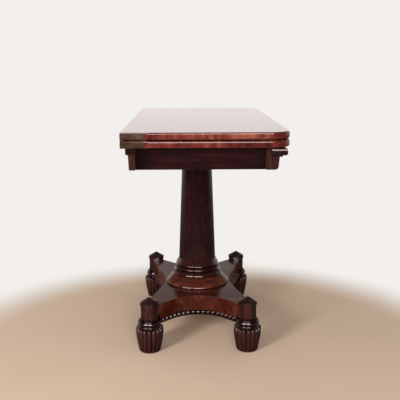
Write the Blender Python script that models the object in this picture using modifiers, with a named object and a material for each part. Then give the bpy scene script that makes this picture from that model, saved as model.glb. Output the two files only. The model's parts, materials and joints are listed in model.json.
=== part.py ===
"""Games table with a fold-over top that swivels on a column, platform and four reeded feet.

Metres, +Z up. The origin lies on the floor under the middle of the closed top. X runs along
the top, -Y is the front with the rolled moulding, and +Y is the back with the hinges.
"""
import math

import bmesh
import bpy
from mathutils import Matrix, Vector

# Clearances
FIT = 0.0003              # gap between pieces that touch
RUNNING_FIT = 0.0004      # gap round pins and bolts that turn

# Folding top
TOP_HEIGHT = 0.720
LEAF_LENGTH = 0.915
LEAF_DEPTH = 0.462
LEAF_THICKNESS = 0.0206
LEAF_GAP = 0.0012         # between the two closed playing surfaces
CORNER_RADIUS = 0.060     # front corners in plan
OUTER_ARRIS = 0.0020      # rounding of the show edges
MEETING_ARRIS = 0.0025    # rounding of the edges where the leaves meet
BANDING_WIDTH = 0.045     # wooden border round the baize
HINGE_BORDER = 0.022      # border beside the hinge line
BAIZE_THICKNESS = 0.0010

# Link hinges at the two ends of the top
PIN_DEPTH = 0.0055        # pin below its playing surface
PIN_RADIUS = 0.0014
OPEN_GAP = 0.0006         # between the leaves' back edges when the top lies open
LINK_THICKNESS = 0.0022
RIVET_RADIUS = 0.0031
RIVET_HEIGHT = 0.0010
RIVET_CROWN = (0.6, 0.85)  # shares of the radius and height where the head turns down
PLATE_LENGTH = 0.064
PLATE_WIDTH = 0.0152
PLATE_THICKNESS = 0.0025
PLATE_SETBACK = 0.0015    # from the leaf's back edge
TURNING_CLEARANCE = 0.0001

# Swivel under the top
PIVOT_PLATE_SIZE = 0.070
PIVOT_PLATE_THICKNESS = 0.0030
PIVOT_BOLT_RADIUS = 0.0060
PIVOT_WASHER_RADIUS = 0.015
PIVOT_WASHER_THICKNESS = 0.0025
PIVOT_NUT_RADIUS = 0.0105
PIVOT_NUT_THICKNESS = 0.009
STOP_PEG_RADIUS = 0.008
STOP_PEG_LENGTH = 0.016   # below the leaf
STOP_PEG_TENON = 0.010    # let into the leaf

# Frieze under the top
FRIEZE_HEIGHT = 0.0613
END_OVERHANG = 0.018
FRONT_OVERHANG = 0.0288
BACK_OVERHANG = 0.0177
FRONT_BOARD_THICKNESS = 0.039
BACK_BOARD_THICKNESS = 0.021
FRONT_BATTER = 0.0050     # the boards' faces lean in towards the bottom
BACK_BATTER = 0.0035
FRONT_LOWER_RADIUS = 0.009
END_RAIL_THICKNESS = 0.020
END_RAIL_RECESS = 0.009
ROLL_HEIGHT = 0.0205
ROLL_PROJECTION = 0.0165
ROLL_RETURN = 0.0265
FILLET_HEIGHT = 0.0045
FILLET_PROJECTION = 0.0045
LIP_HEIGHT = 0.0188
LIP_PROJECTION = 0.0048
LIP_RETURN = 0.020
BEARER_WIDTH = 0.150
BEARER_THICKNESS = 0.028
BEARER_LIFT = 0.002       # above the bottom of the frieze
PIVOT_RAIL_THICKNESS = 0.024
PIVOT_RAIL_INNER = 0.034  # from the swivel towards the column
WELL_FLOOR_THICKNESS = 0.008
WELL_FLOOR_LIFT = 0.006
CORNER_BLOCK_SIZE = 0.030
CORNER_BLOCK_HEIGHT = 0.036

# Column and its turned base
COLUMN_SETBACK = 0.0184   # the column stands behind the middle of the closed top
COLUMN_TOP_RADIUS = 0.0485
COLUMN_FOOT_RADIUS = 0.0630
COLUMN_FOOT_HEIGHT = 0.2352
TOP_TENON_RADIUS = 0.025
TOP_TENON_LENGTH = 0.026
FOOT_TENON_RADIUS = 0.030
COLLAR_HEIGHT = 0.0572
RING_NOSE = 0.0035        # rounding at the fullest part of a ring
UPPER_RING_RADIUS = 0.0732
UPPER_RING_HEIGHT = 0.0228
MIDDLE_RING_NECK = 0.0675
MIDDLE_RING_RADIUS = 0.0770
MIDDLE_RING_HEIGHT = 0.0120
LOWER_RING_NECK = 0.0725
LOWER_RING_RADIUS = 0.0840
LOWER_RING_NOSE = 0.0070
DOME_TOP_RADIUS = 0.0800
DOME_RADIUS = 0.1090
DOME_NOSE = 0.0045        # rounding of the dome's rim

# Platform with hollow sides
PLATFORM_TOP = 0.1480
PLATFORM_THICKNESS = 0.0495
END_WAIST = 0.160         # middle of an end's hollow from the column axis
END_HOLLOW_RADIUS = 0.125
SIDE_WAIST = 0.1135       # middle of a long side's hollow from the column axis
SIDE_HOLLOW_RADIUS = 0.250
GADROON_HEIGHT = 0.0175
GADROON_DEPTH = 0.014
GADROON_PITCH = 0.0164
GADROON_SLANT = 0.012     # each lobe leans to the right by this much over its height
GADROON_PROJECTION = 0.0048
GADROON_VALLEY = 0.0028   # hollows between lobes, behind the platform's face
GADROON_SHOULDER = 0.3    # share of the height that rounds over at each end of a lobe
UNDERBOARD_LIFT = 0.003   # above the lower edge of the gadroon

# Corner posts and feet
POST_SPREAD_X = 0.490     # between post axes along the table
POST_SPREAD_Y = 0.3123
POST_WIDTH = 0.0530       # across flats
POST_TOP = 0.1535
CAP_OVERHANG = 0.0022
CAP_RIM = 0.0060
CAP_RISE = 0.0185
DOWEL_RADIUS = 0.009
DOWEL_LENGTH = 0.024
FOOT_HEIGHT = 0.1085
SHOULDER_RADIUS = 0.0290  # short neck between a post and its foot's flange
SHOULDER_HEIGHT = 0.0075
FLANGE_RADIUS = 0.0370
FLANGE_HEIGHT = 0.0110
NECK_RADIUS = 0.0305
FOOT_RING_RADIUS = 0.0350
BULB_HEIGHT = 0.0800
BULB_RADIUS = 0.0440
BULB_BASE_RADIUS = 0.0330
FOOT_LOBES = 12
LOBE_DEPTH = 0.0052
LOBE_FULLNESS = 0.7       # below 1 the lobes are rounder than the hollows between them
NECK_LOBE = 0.2           # share of the lobes' depth left under the rings
BULB_SECTIONS = (         # shares of the height, of the swell from base to bulb, and of the lobes' depth
    (0, 0, 0.8),
    (0.06, 0.18, 1.0),
    (0.42, 0.67, 1.0),
    (0.66, 0.96, 1.0),
    (0.80, 1.0, 1.0),
    (0.92, 0.84, 0.9),
    (0.985, 0.44, 0.6),
)

# Facets
ARC_STEPS = 8
FINE_ARC_STEPS = 32
ARRIS_STEPS = 3
SMOOTH_ANGLE = 35         # degrees, below which facets are shaded as one surface
TURNED_STEPS = 4
FOOT_RING_STEPS = 4
COLUMN_SIDES = 28
FOOT_TURNED_SIDES = 16
BOLT_SIDES = 16
WASHER_SIDES = 20
PIN_SIDES = 12
LOBE_STEPS = 4
GADROON_STEPS = 3

# Heights and places that follow from the sizes above
UPPER_PLAYING_Z = TOP_HEIGHT - LEAF_THICKNESS
LOWER_PLAYING_Z = UPPER_PLAYING_Z - LEAF_GAP
LOWER_UNDERSIDE_Z = LOWER_PLAYING_Z - LEAF_THICKNESS
LEAF_BACK_Y = LEAF_DEPTH / 2
LEAF_END_X = LEAF_LENGTH / 2
FRIEZE_TOP_Z = LOWER_UNDERSIDE_Z - FIT
FRIEZE_BOTTOM_Z = FRIEZE_TOP_Z - FRIEZE_HEIGHT
BOARD_END_X = LEAF_END_X - END_OVERHANG
FRONT_FACE_Y = -LEAF_DEPTH / 2 + FRONT_OVERHANG
FRONT_INNER_Y = FRONT_FACE_Y + FRONT_BOARD_THICKNESS
BACK_FACE_Y = LEAF_BACK_Y - BACK_OVERHANG
BACK_INNER_Y = BACK_FACE_Y - BACK_BOARD_THICKNESS
END_RAIL_X = BOARD_END_X - END_RAIL_RECESS - END_RAIL_THICKNESS / 2
BEARER_BOTTOM_Z = FRIEZE_BOTTOM_Z + BEARER_LIFT
WIDEST_ARRIS = max(OUTER_ARRIS, MEETING_ARRIS)
PIN_SETBACK = PIN_DEPTH + (LEAF_GAP - OPEN_GAP) / 2
PIN_SPACING = 2 * PIN_DEPTH + LEAF_GAP
PIN_Y = LEAF_BACK_Y - PIN_SETBACK
LOWER_PIN_Z = LOWER_PLAYING_Z - PIN_DEPTH
UPPER_PIN_Z = UPPER_PLAYING_Z + PIN_DEPTH
LINK_RADIUS = PIN_DEPTH - FIT
PLATE_TOP_DEPTH = MEETING_ARRIS + FIT
PIVOT = Vector((LEAF_DEPTH / 4, LEAF_DEPTH / 4, LOWER_UNDERSIDE_Z))
STOP_PEG_REACH = BACK_INNER_Y - PIVOT.y - STOP_PEG_RADIUS - FIT
COLUMN_SHOULDER_Z = BEARER_BOTTOM_Z - FIT
COLLAR_BOTTOM_Z = COLUMN_FOOT_HEIGHT - FIT - COLLAR_HEIGHT
PLATFORM_BOTTOM_Z = PLATFORM_TOP - PLATFORM_THICKNESS
GADROON_TOP_Z = PLATFORM_BOTTOM_Z - FIT
GADROON_BOTTOM_Z = GADROON_TOP_Z - GADROON_HEIGHT
POST_HALF = POST_WIDTH / 2
POST_FACET = POST_HALF * math.tan(math.pi / 8)
POST_X = POST_SPREAD_X / 2
POST_Y = POST_SPREAD_Y / 2
COLUMN_AXIS = Vector((0, COLUMN_SETBACK, 0))
ENDS = ((-1, "left"), (1, "right"))
CORNERS = {
    "front_left": (-1, -1),
    "front_right": (1, -1),
    "back_left": (-1, 1),
    "back_right": (1, 1),
}

# Finishes: linear colour, roughness, metallic
ROSEWOOD = ((0.045, 0.012, 0.010, 1), 0.22, 0.0)
CROSSBANDING = ((0.110, 0.025, 0.016, 1), 0.22, 0.0)
PALE_PINE = ((0.430, 0.270, 0.130, 1), 0.65, 0.0)
BEECH = ((0.330, 0.180, 0.085, 1), 0.60, 0.0)
TARNISHED_BRASS = ((0.180, 0.130, 0.065, 1), 0.42, 1.0)
BLACK_IRON = ((0.040, 0.038, 0.036, 1), 0.55, 1.0)
GREEN_BAIZE = ((0.015, 0.075, 0.035, 1), 0.95, 0.0)


def clear_scene():
    """Start from an empty scene."""
    for obj in list(bpy.data.objects):
        bpy.data.objects.remove(obj, do_unlink=True)


def new_collection(name):
    group = bpy.data.collections.new(name)
    bpy.context.scene.collection.children.link(group)
    return group


clear_scene()
PARTS = new_collection("games_table")
CUTTERS = new_collection("cutters")


def paint(obj, finish):
    """Give a piece its own material."""
    colour, roughness, metallic = finish
    material = bpy.data.materials.new(obj.name + "_finish")
    material.use_nodes = True
    shader = material.node_tree.nodes["Principled BSDF"]
    shader.inputs["Base Color"].default_value = colour
    shader.inputs["Roughness"].default_value = roughness
    shader.inputs["Metallic"].default_value = metallic
    obj.data.materials.clear()
    obj.data.materials.append(material)


def add_part(name, mesh, finish, location=(0, 0, 0), parent=None, smooth=False):
    """Add one piece, with its origin at location, carried by parent."""
    obj = bpy.data.objects.new(name, mesh)
    PARTS.objects.link(obj)
    obj.location = location
    if parent is not None:
        obj.parent = parent
        obj.matrix_parent_inverse = Matrix.Translation(parent.location).inverted()
    if smooth:
        mesh.shade_smooth()
        mesh.set_sharp_from_angle(angle=math.radians(SMOOTH_ANGLE))
    paint(obj, finish)
    return obj


def add_cutter(name, mesh, location=(0, 0, 0)):
    obj = bpy.data.objects.new(name, mesh)
    CUTTERS.objects.link(obj)
    obj.location = location
    obj.hide_render = True
    obj.display_type = "WIRE"
    return obj


def add_axis(name, location):
    """An empty on the axis of a joint, which carries the pieces that turn there."""
    axis = bpy.data.objects.new(name, None)
    PARTS.objects.link(axis)
    axis.empty_display_size = 0.05
    axis.location = location
    return axis


def combine(obj, other, operation):
    modifier = obj.modifiers.new(operation.lower(), "BOOLEAN")
    modifier.operation = operation
    modifier.solver = "EXACT"
    modifier.object = other


def mesh_from(name, work):
    mesh = bpy.data.meshes.new(name)
    work.to_mesh(mesh)
    work.free()
    return mesh


def box_mesh(name, size):
    work = bmesh.new()
    bmesh.ops.create_cube(work, size=1, matrix=Matrix.Diagonal((*size, 1)))
    return mesh_from(name, work)


def round_bar_mesh(name, radius, length, sides, axis="Z"):
    work = bmesh.new()
    bmesh.ops.create_cone(work, cap_ends=True, segments=sides, radius1=radius, radius2=radius, depth=length)
    if axis == "X":
        bmesh.ops.rotate(work, verts=work.verts, matrix=Matrix.Rotation(math.pi / 2, 3, "Y"))
    return mesh_from(name, work)


def octagon_mesh(name, half_width, length):
    """An octagonal bar that stands on Z with flats towards X and Y."""
    work = bmesh.new()
    radius = half_width / math.cos(math.pi / 8)
    turn = Matrix.Rotation(math.pi / 8, 4, "Z")
    bmesh.ops.create_cone(
        work, cap_ends=True, segments=8, radius1=radius, radius2=radius, depth=length, matrix=turn
    )
    return mesh_from(name, work)


def at_corners(name, mesh, middle_z):
    """One mesh with a copy of a solid on the axis of each corner post."""
    work = bmesh.new()
    for sx, sy in CORNERS.values():
        copy = mesh.copy()
        copy.transform(Matrix.Translation((sx * POST_X, sy * POST_Y, middle_z)))
        work.from_mesh(copy)
        bpy.data.meshes.remove(copy)
    return mesh_from(name, work)


def profile_mesh(name, points, closed):
    """A turned piece's profile of radii and heights, top to bottom down its outer side."""
    count = len(points)
    edges = [(i, i + 1) for i in range(count - 1)]
    if closed:
        edges.append((count - 1, 0))
    mesh = bpy.data.meshes.new(name)
    mesh.from_pydata([(r, 0, z) for r, z in points], edges, [])
    return mesh


def turn_profile(obj, sides):
    screw = obj.modifiers.new("turn", "SCREW")
    screw.axis = "Z"
    screw.angle = math.tau
    screw.steps = sides
    screw.render_steps = sides
    screw.use_merge_vertices = True
    screw.merge_threshold = 0.00001
    screw.use_smooth_shade = True


def add_turned(name, points, sides, finish, location=(0, 0, 0), parent=None, closed=False):
    obj = add_part(name, profile_mesh(name, points, closed), finish, location, parent)
    turn_profile(obj, sides)
    return obj


def evaluated_mesh(obj):
    graph = bpy.context.evaluated_depsgraph_get()
    return bpy.data.meshes.new_from_object(obj.evaluated_get(graph))


def outline_mesh(name, points, thickness):
    """A board of the given outline in XY, centred on Z."""
    curve = bpy.data.curves.new(name, "CURVE")
    curve.dimensions = "2D"
    curve.fill_mode = "BOTH"
    curve.extrude = thickness / 2
    spline = curve.splines.new("POLY")
    spline.points.add(len(points) - 1)
    for point, (x, y) in zip(spline.points, points):
        point.co = (x, y, 0, 1)
    spline.use_cyclic_u = True
    sketch = bpy.data.objects.new(name, curve)
    CUTTERS.objects.link(sketch)
    mesh = evaluated_mesh(sketch)
    bpy.data.objects.remove(sketch, do_unlink=True)
    work = bmesh.new()
    work.from_mesh(mesh)
    bmesh.ops.remove_doubles(work, verts=work.verts, dist=0.00001)
    bmesh.ops.dissolve_limit(work, angle_limit=0.001, verts=work.verts, edges=work.edges)
    bmesh.ops.recalc_face_normals(work, faces=work.faces)
    work.to_mesh(mesh)
    work.free()
    return mesh


def section_along_x(name, points, length):
    """A bar of the given section in YZ, centred on X."""
    mesh = outline_mesh(name, points, length)
    mesh.transform(Matrix(((0, 0, 1, 0), (1, 0, 0, 0), (0, 1, 0, 0), (0, 0, 0, 1))))
    return mesh


def loft_mesh(name, rings):
    """A solid skinned over rings of equal length, with its two ends closed."""
    work = bmesh.new()
    rows = [[work.verts.new(point) for point in ring] for ring in rings]
    count = len(rows[0])
    for row, following in zip(rows, rows[1:]):
        for i in range(count):
            j = (i + 1) % count
            work.faces.new((row[i], row[j], following[j], following[i]))
    work.faces.new(reversed(rows[0]))
    work.faces.new(rows[-1])
    bmesh.ops.recalc_face_normals(work, faces=work.faces)
    return mesh_from(name, work)


def arc(centre, radius, start, end, steps=ARC_STEPS):
    """Points on a circle from angle start to end, in degrees."""
    points = []
    for i in range(steps + 1):
        angle = math.radians(start + (end - start) * i / steps)
        points.append((centre[0] + radius * math.cos(angle), centre[1] + radius * math.sin(angle)))
    return points


def leaf_outline(inset, back_inset):
    """Square at the back and rounded at the two front corners."""
    x = LEAF_END_X - inset
    front = -LEAF_DEPTH / 2 + inset
    back = LEAF_BACK_Y - back_inset
    radius = CORNER_RADIUS - inset
    points = [(x, back), (-x, back)]
    points += arc((-x + radius, front + radius), radius, 180, 270)
    points += arc((x - radius, front + radius), radius, 270, 360)
    return points


def hinge_arris():
    """The least rounding of the hinged arrises that lets the leaves turn over on their links."""
    reach = PIN_DEPTH + LEAF_GAP / 2 - TURNING_CLEARANCE
    middle = PIN_SETBACK + PIN_DEPTH - reach
    square = PIN_SETBACK ** 2 + PIN_DEPTH ** 2 - reach ** 2
    return middle - math.sqrt(middle ** 2 - square)


def leaf_mesh(name, playing_side):
    """A leaf, centred on its own middle, with each arris but the hinged one marked for its rounding."""
    mesh = outline_mesh(name, leaf_outline(0, 0), LEAF_THICKNESS)
    work = bmesh.new()
    work.from_mesh(mesh)
    weight = work.edges.layers.float.new("bevel_weight_edge")
    for edge in work.edges:
        middle = (edge.verts[0].co + edge.verts[1].co) / 2
        if abs(middle.z) < LEAF_THICKNESS / 2 - FIT:
            continue
        on_playing_side = middle.z * playing_side > 0
        if on_playing_side and middle.y > LEAF_BACK_Y - FIT:
            continue
        edge[weight] = (MEETING_ARRIS if on_playing_side else OUTER_ARRIS) / WIDEST_ARRIS
    work.to_mesh(mesh)
    work.free()
    return mesh


def hinge_arris_mesh(name, playing_side):
    """What is cut away along the hinged arris, with the playing surface at Z = 0."""
    radius = hinge_arris()
    inner_y = LEAF_BACK_Y - radius
    outer_y = LEAF_BACK_Y + radius
    points = [(outer_y, -radius), (outer_y, radius), (inner_y, radius)]
    points += arc((inner_y, -radius), radius, 90, 0)
    return section_along_x(name, [(y, playing_side * z) for y, z in points], 2 * LEAF_LENGTH)


def add_leaf(name, middle_z, playing_side, parent):
    leaf = add_part(name, leaf_mesh(name, playing_side), CROSSBANDING, (0, 0, middle_z), parent)
    rounding = leaf.modifiers.new("arrises", "BEVEL")
    rounding.limit_method = "WEIGHT"
    rounding.width = WIDEST_ARRIS
    rounding.segments = ARRIS_STEPS
    playing_place = (0, 0, middle_z + playing_side * LEAF_THICKNESS / 2)
    arris = name + "_hinge_arris"
    combine(leaf, add_cutter(arris, hinge_arris_mesh(arris, playing_side), playing_place), "DIFFERENCE")
    recess = name + "_recess"
    recess_depth = BAIZE_THICKNESS + FIT
    recess_mesh = outline_mesh(recess, leaf_outline(BANDING_WIDTH, HINGE_BORDER), 2 * recess_depth)
    combine(leaf, add_cutter(recess, recess_mesh, playing_place), "DIFFERENCE")
    return leaf


def add_baize(name, playing_z, playing_side, parent):
    outline = leaf_outline(BANDING_WIDTH + FIT, HINGE_BORDER + FIT)
    mesh = outline_mesh(name, outline, BAIZE_THICKNESS)
    add_part(name, mesh, GREEN_BAIZE, (0, 0, playing_z - playing_side * BAIZE_THICKNESS / 2), parent)


def add_hinge_plates(level, leaf, playing_z, playing_side, parent):
    """Brass plates let into both ends of a leaf, bored for the hinge pins."""
    middle_z = playing_z - playing_side * (PLATE_TOP_DEPTH + PLATE_WIDTH / 2)
    pin_z = playing_z - playing_side * PIN_DEPTH
    middle_y = LEAF_BACK_Y - PLATE_SETBACK - PLATE_LENGTH / 2
    size = Vector((PLATE_THICKNESS, PLATE_LENGTH, PLATE_WIDTH))
    for side, end in ENDS:
        name = f"{level}_hinge_plate_{end}"
        centre = Vector((side * (LEAF_END_X - PLATE_THICKNESS / 2), middle_y, middle_z))
        plate = add_part(name, box_mesh(name, size), TARNISHED_BRASS, centre, parent)
        bore = name + "_pin_hole"
        bore_mesh = round_bar_mesh(bore, PIN_RADIUS + RUNNING_FIT, 4 * PLATE_THICKNESS, BOLT_SIDES, "X")
        combine(plate, add_cutter(bore, bore_mesh, (centre.x, PIN_Y, pin_z)), "DIFFERENCE")
        mortise_size = size + Vector((4 * FIT, 2 * FIT, 2 * FIT))
        mortise = add_cutter(name + "_mortise", box_mesh(name + "_mortise", mortise_size), centre)
        mortise.location.x += side * FIT
        combine(leaf, mortise, "DIFFERENCE")


def link_outline():
    """Two round eyes joined by straight sides, upright on the lower pin."""
    return arc((0, 0), LINK_RADIUS, 180, 360) + arc((0, PIN_SPACING), LINK_RADIUS, 0, 180)


def add_hinge_links(axis):
    """The flat links outside the plates, each with a riveted pin through both eyes."""
    for side, end in ENDS:
        inner_x = side * (LEAF_END_X + FIT)
        middle = Vector((inner_x + side * LINK_THICKNESS / 2, PIN_Y, LOWER_PIN_Z))
        name = f"hinge_link_{end}"
        mesh = section_along_x(name, link_outline(), LINK_THICKNESS)
        link = add_part(name, mesh, TARNISHED_BRASS, middle, axis)
        eye = round_bar_mesh(name + "_eye", PIN_RADIUS + FIT, 4 * LINK_THICKNESS, BOLT_SIDES, "X")
        head_x = inner_x + side * (LINK_THICKNESS + FIT)
        for level, pin_z in (("lower", LOWER_PIN_Z), ("upper", UPPER_PIN_Z)):
            combine(link, add_cutter(f"{name}_{level}_eye", eye, (middle.x, PIN_Y, pin_z)), "DIFFERENCE")
            pin_name = f"{level}_hinge_pin_{end}"
            head = (head_x, PIN_Y, pin_z)
            pin = add_turned(pin_name, rivet_profile(), PIN_SIDES, TARNISHED_BRASS, head, axis)
            pin.rotation_euler.y = side * math.pi / 2


def rivet_profile():
    """A domed head above Z = 0 and a shank that goes through the link and the plate."""
    shank = LINK_THICKNESS + PLATE_THICKNESS + 2 * FIT
    return [
        (0, RIVET_HEIGHT),
        (RIVET_RADIUS * RIVET_CROWN[0], RIVET_HEIGHT * RIVET_CROWN[1]),
        (RIVET_RADIUS, 0),
        (PIN_RADIUS, 0),
        (PIN_RADIUS, -shank),
        (0, -shank),
    ]


def add_swivel(leaf, axis):
    """The bolt and plate under the lower leaf, with the washer and nut below the rail."""
    plate_size = (PIVOT_PLATE_SIZE, PIVOT_PLATE_SIZE, PIVOT_PLATE_THICKNESS)
    plate_z = PIVOT.z + PIVOT_PLATE_THICKNESS / 2
    plate_place = (PIVOT.x, PIVOT.y, plate_z)
    plate = add_part("pivot_plate", box_mesh("pivot_plate", plate_size), BLACK_IRON, plate_place, axis)
    housing_size = [side + 2 * FIT for side in plate_size]
    housing = add_cutter("pivot_plate_housing", box_mesh("pivot_plate_housing", housing_size), plate_place)
    combine(leaf, housing, "DIFFERENCE")

    rail_bottom = FRIEZE_TOP_Z - FIT - PIVOT_RAIL_THICKNESS
    washer_top = rail_bottom - FIT
    nut_top = washer_top - PIVOT_WASHER_THICKNESS - FIT
    bolt_top = PIVOT.z + PIVOT_PLATE_THICKNESS
    bolt_bottom = nut_top - PIVOT_NUT_THICKNESS - PIVOT_BOLT_RADIUS / 2
    bolt_length = bolt_top - bolt_bottom
    bolt_mesh = round_bar_mesh("pivot_bolt", PIVOT_BOLT_RADIUS, bolt_length, BOLT_SIDES)
    bolt_place = (PIVOT.x, PIVOT.y, (bolt_top + bolt_bottom) / 2)
    add_part("pivot_bolt", bolt_mesh, BLACK_IRON, bolt_place, axis, smooth=True)

    way_radius = PIVOT_BOLT_RADIUS + RUNNING_FIT
    way_mesh = round_bar_mesh("pivot_bolt_way", way_radius, 2 * bolt_length, WASHER_SIDES)
    way = add_cutter("pivot_bolt_way", way_mesh, bolt_place)
    combine(plate, way, "DIFFERENCE")
    washer_mesh = round_bar_mesh("pivot_washer", PIVOT_WASHER_RADIUS, PIVOT_WASHER_THICKNESS, WASHER_SIDES)
    washer_place = (PIVOT.x, PIVOT.y, washer_top - PIVOT_WASHER_THICKNESS / 2)
    washer = add_part("pivot_washer", washer_mesh, BLACK_IRON, washer_place, axis)
    combine(washer, way, "DIFFERENCE")
    nut_mesh = round_bar_mesh("pivot_nut", PIVOT_NUT_RADIUS, PIVOT_NUT_THICKNESS, 6)
    nut_place = (PIVOT.x, PIVOT.y, nut_top - PIVOT_NUT_THICKNESS / 2)
    nut = add_part("pivot_nut", nut_mesh, BLACK_IRON, nut_place, axis)
    combine(nut, way, "DIFFERENCE")

    peg_length = STOP_PEG_LENGTH + STOP_PEG_TENON
    peg_z = PIVOT.z + STOP_PEG_TENON - peg_length / 2
    peg_place = (PIVOT.x + STOP_PEG_REACH, PIVOT.y - STOP_PEG_REACH, peg_z)
    peg_mesh = round_bar_mesh("stop_peg", STOP_PEG_RADIUS, peg_length, BOLT_SIDES)
    add_part("stop_peg", peg_mesh, BEECH, peg_place, axis, smooth=True)
    socket_mesh = round_bar_mesh("stop_peg_socket", STOP_PEG_RADIUS + FIT, peg_length + 2 * FIT, BOLT_SIDES)
    combine(leaf, add_cutter("stop_peg_socket", socket_mesh, peg_place), "DIFFERENCE")
    return way


def add_top():
    """The two leaves, their baize, the hinges between them and the swivel below."""
    swivel_axis = add_axis("top_swivel_axis", PIVOT)
    link_axis = add_axis("link_fold_axis", Vector((0, PIN_Y, LOWER_PIN_Z)))
    fold_axis = add_axis("leaf_fold_axis", Vector((0, PIN_Y, UPPER_PIN_Z)))
    lower = add_leaf("lower_leaf", LOWER_PLAYING_Z - LEAF_THICKNESS / 2, 1, swivel_axis)
    upper = add_leaf("upper_leaf", UPPER_PLAYING_Z + LEAF_THICKNESS / 2, -1, fold_axis)
    add_baize("lower_baize", LOWER_PLAYING_Z, 1, swivel_axis)
    add_baize("upper_baize", UPPER_PLAYING_Z, -1, fold_axis)
    add_hinge_plates("lower", lower, LOWER_PLAYING_Z, 1, swivel_axis)
    add_hinge_plates("upper", upper, UPPER_PLAYING_Z, -1, fold_axis)
    add_hinge_links(link_axis)
    return add_swivel(lower, swivel_axis)


def mitred_mesh(name, path, section):
    """A moulding along a path of right-angled turns in plan, its section in outward and up."""
    rings = []
    for i, point in enumerate(path):
        before = path[i] - path[i - 1] if i else path[1] - path[0]
        after = path[i + 1] - path[i] if i + 1 < len(path) else before
        normals = {(n.y, -n.x) for n in (before.normalized(), after.normalized())}
        spread = Vector((sum(n[0] for n in normals), sum(n[1] for n in normals)))
        rings.append([(point.x + spread.x * out, point.y + spread.y * out, up) for out, up in section])
    return loft_mesh(name, rings)


def add_frieze(way):
    """The hollow frieze: boards and rails round the well, with the bearer over the column."""
    length = 2 * BOARD_END_X
    outer_bottom = FRONT_FACE_Y + FRONT_BATTER
    front_section = [
        (FRONT_INNER_Y, FRIEZE_BOTTOM_Z),
        (FRONT_INNER_Y, FRIEZE_TOP_Z),
        (FRONT_FACE_Y, FRIEZE_TOP_Z),
    ]
    round_centre = (outer_bottom + FRONT_LOWER_RADIUS, FRIEZE_BOTTOM_Z + FRONT_LOWER_RADIUS)
    front_section += arc(round_centre, FRONT_LOWER_RADIUS, 180, 270, TURNED_STEPS)
    add_part("front_board", section_along_x("front_board", front_section, length), ROSEWOOD)
    back_section = [
        (BACK_INNER_Y, FRIEZE_BOTTOM_Z),
        (BACK_FACE_Y - BACK_BATTER, FRIEZE_BOTTOM_Z),
        (BACK_FACE_Y, FRIEZE_TOP_Z),
        (BACK_INNER_Y, FRIEZE_TOP_Z),
    ]
    add_part("back_board", section_along_x("back_board", back_section, length), ROSEWOOD)

    well_depth = BACK_INNER_Y - FRONT_INNER_Y - 2 * FIT
    well_y = (BACK_INNER_Y + FRONT_INNER_Y) / 2
    middle_z = (FRIEZE_TOP_Z + FRIEZE_BOTTOM_Z) / 2
    for side, end in ENDS:
        name = f"end_rail_{end}"
        mesh = box_mesh(name, (END_RAIL_THICKNESS, well_depth, FRIEZE_HEIGHT))
        add_part(name, mesh, ROSEWOOD, (side * END_RAIL_X, well_y, middle_z))

    bearer_mesh = box_mesh("column_bearer", (BEARER_WIDTH, well_depth, BEARER_THICKNESS))
    bearer_place = (0, well_y, BEARER_BOTTOM_Z + BEARER_THICKNESS / 2)
    bearer = add_part("column_bearer", bearer_mesh, BEECH, bearer_place)
    socket_radius = TOP_TENON_RADIUS + FIT
    socket_mesh = round_bar_mesh("bearer_socket", socket_radius, 4 * BEARER_THICKNESS, COLUMN_SIDES)
    socket_place = COLUMN_AXIS + Vector((0, 0, BEARER_BOTTOM_Z))
    combine(bearer, add_cutter("bearer_socket", socket_mesh, socket_place), "DIFFERENCE")

    rail_outer = STOP_PEG_REACH - STOP_PEG_RADIUS - FIT
    rail_width = PIVOT_RAIL_INNER + rail_outer
    rail_x = PIVOT.x + (rail_outer - PIVOT_RAIL_INNER) / 2
    rail_z = FRIEZE_TOP_Z - FIT - PIVOT_RAIL_THICKNESS / 2
    rail_mesh = box_mesh("pivot_rail", (rail_width, well_depth, PIVOT_RAIL_THICKNESS))
    rail = add_part("pivot_rail", rail_mesh, BEECH, (rail_x, well_y, rail_z))
    combine(rail, way, "DIFFERENCE")

    inner_end = END_RAIL_X - END_RAIL_THICKNESS / 2 - FIT
    floor_start = BEARER_WIDTH / 2 + FIT
    floor_size = (inner_end - floor_start, well_depth, WELL_FLOOR_THICKNESS)
    floor_z = FRIEZE_BOTTOM_Z + WELL_FLOOR_LIFT + WELL_FLOOR_THICKNESS / 2
    for side, end in ENDS:
        name = f"well_floor_{end}"
        floor_place = (side * (inner_end + floor_start) / 2, well_y, floor_z)
        add_part(name, box_mesh(name, floor_size), PALE_PINE, floor_place)

    block_z = floor_z + WELL_FLOOR_THICKNESS / 2 + FIT + CORNER_BLOCK_HEIGHT / 2
    for corner, (sx, sy) in CORNERS.items():
        inner_y = BACK_INNER_Y - FIT if sy > 0 else FRONT_INNER_Y + FIT
        place = (sx * inner_end, inner_y, block_z)
        add_part(f"corner_block_{corner}", corner_block_mesh(-sx, -sy), PALE_PINE, place)


def corner_block_mesh(towards_x, towards_y):
    """A triangular glue block with its right angle at the origin and its legs in the given directions."""
    x = towards_x * CORNER_BLOCK_SIZE
    y = towards_y * CORNER_BLOCK_SIZE
    return outline_mesh("corner_block", [(0, 0), (x, 0), (0, y)], CORNER_BLOCK_HEIGHT)


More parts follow.
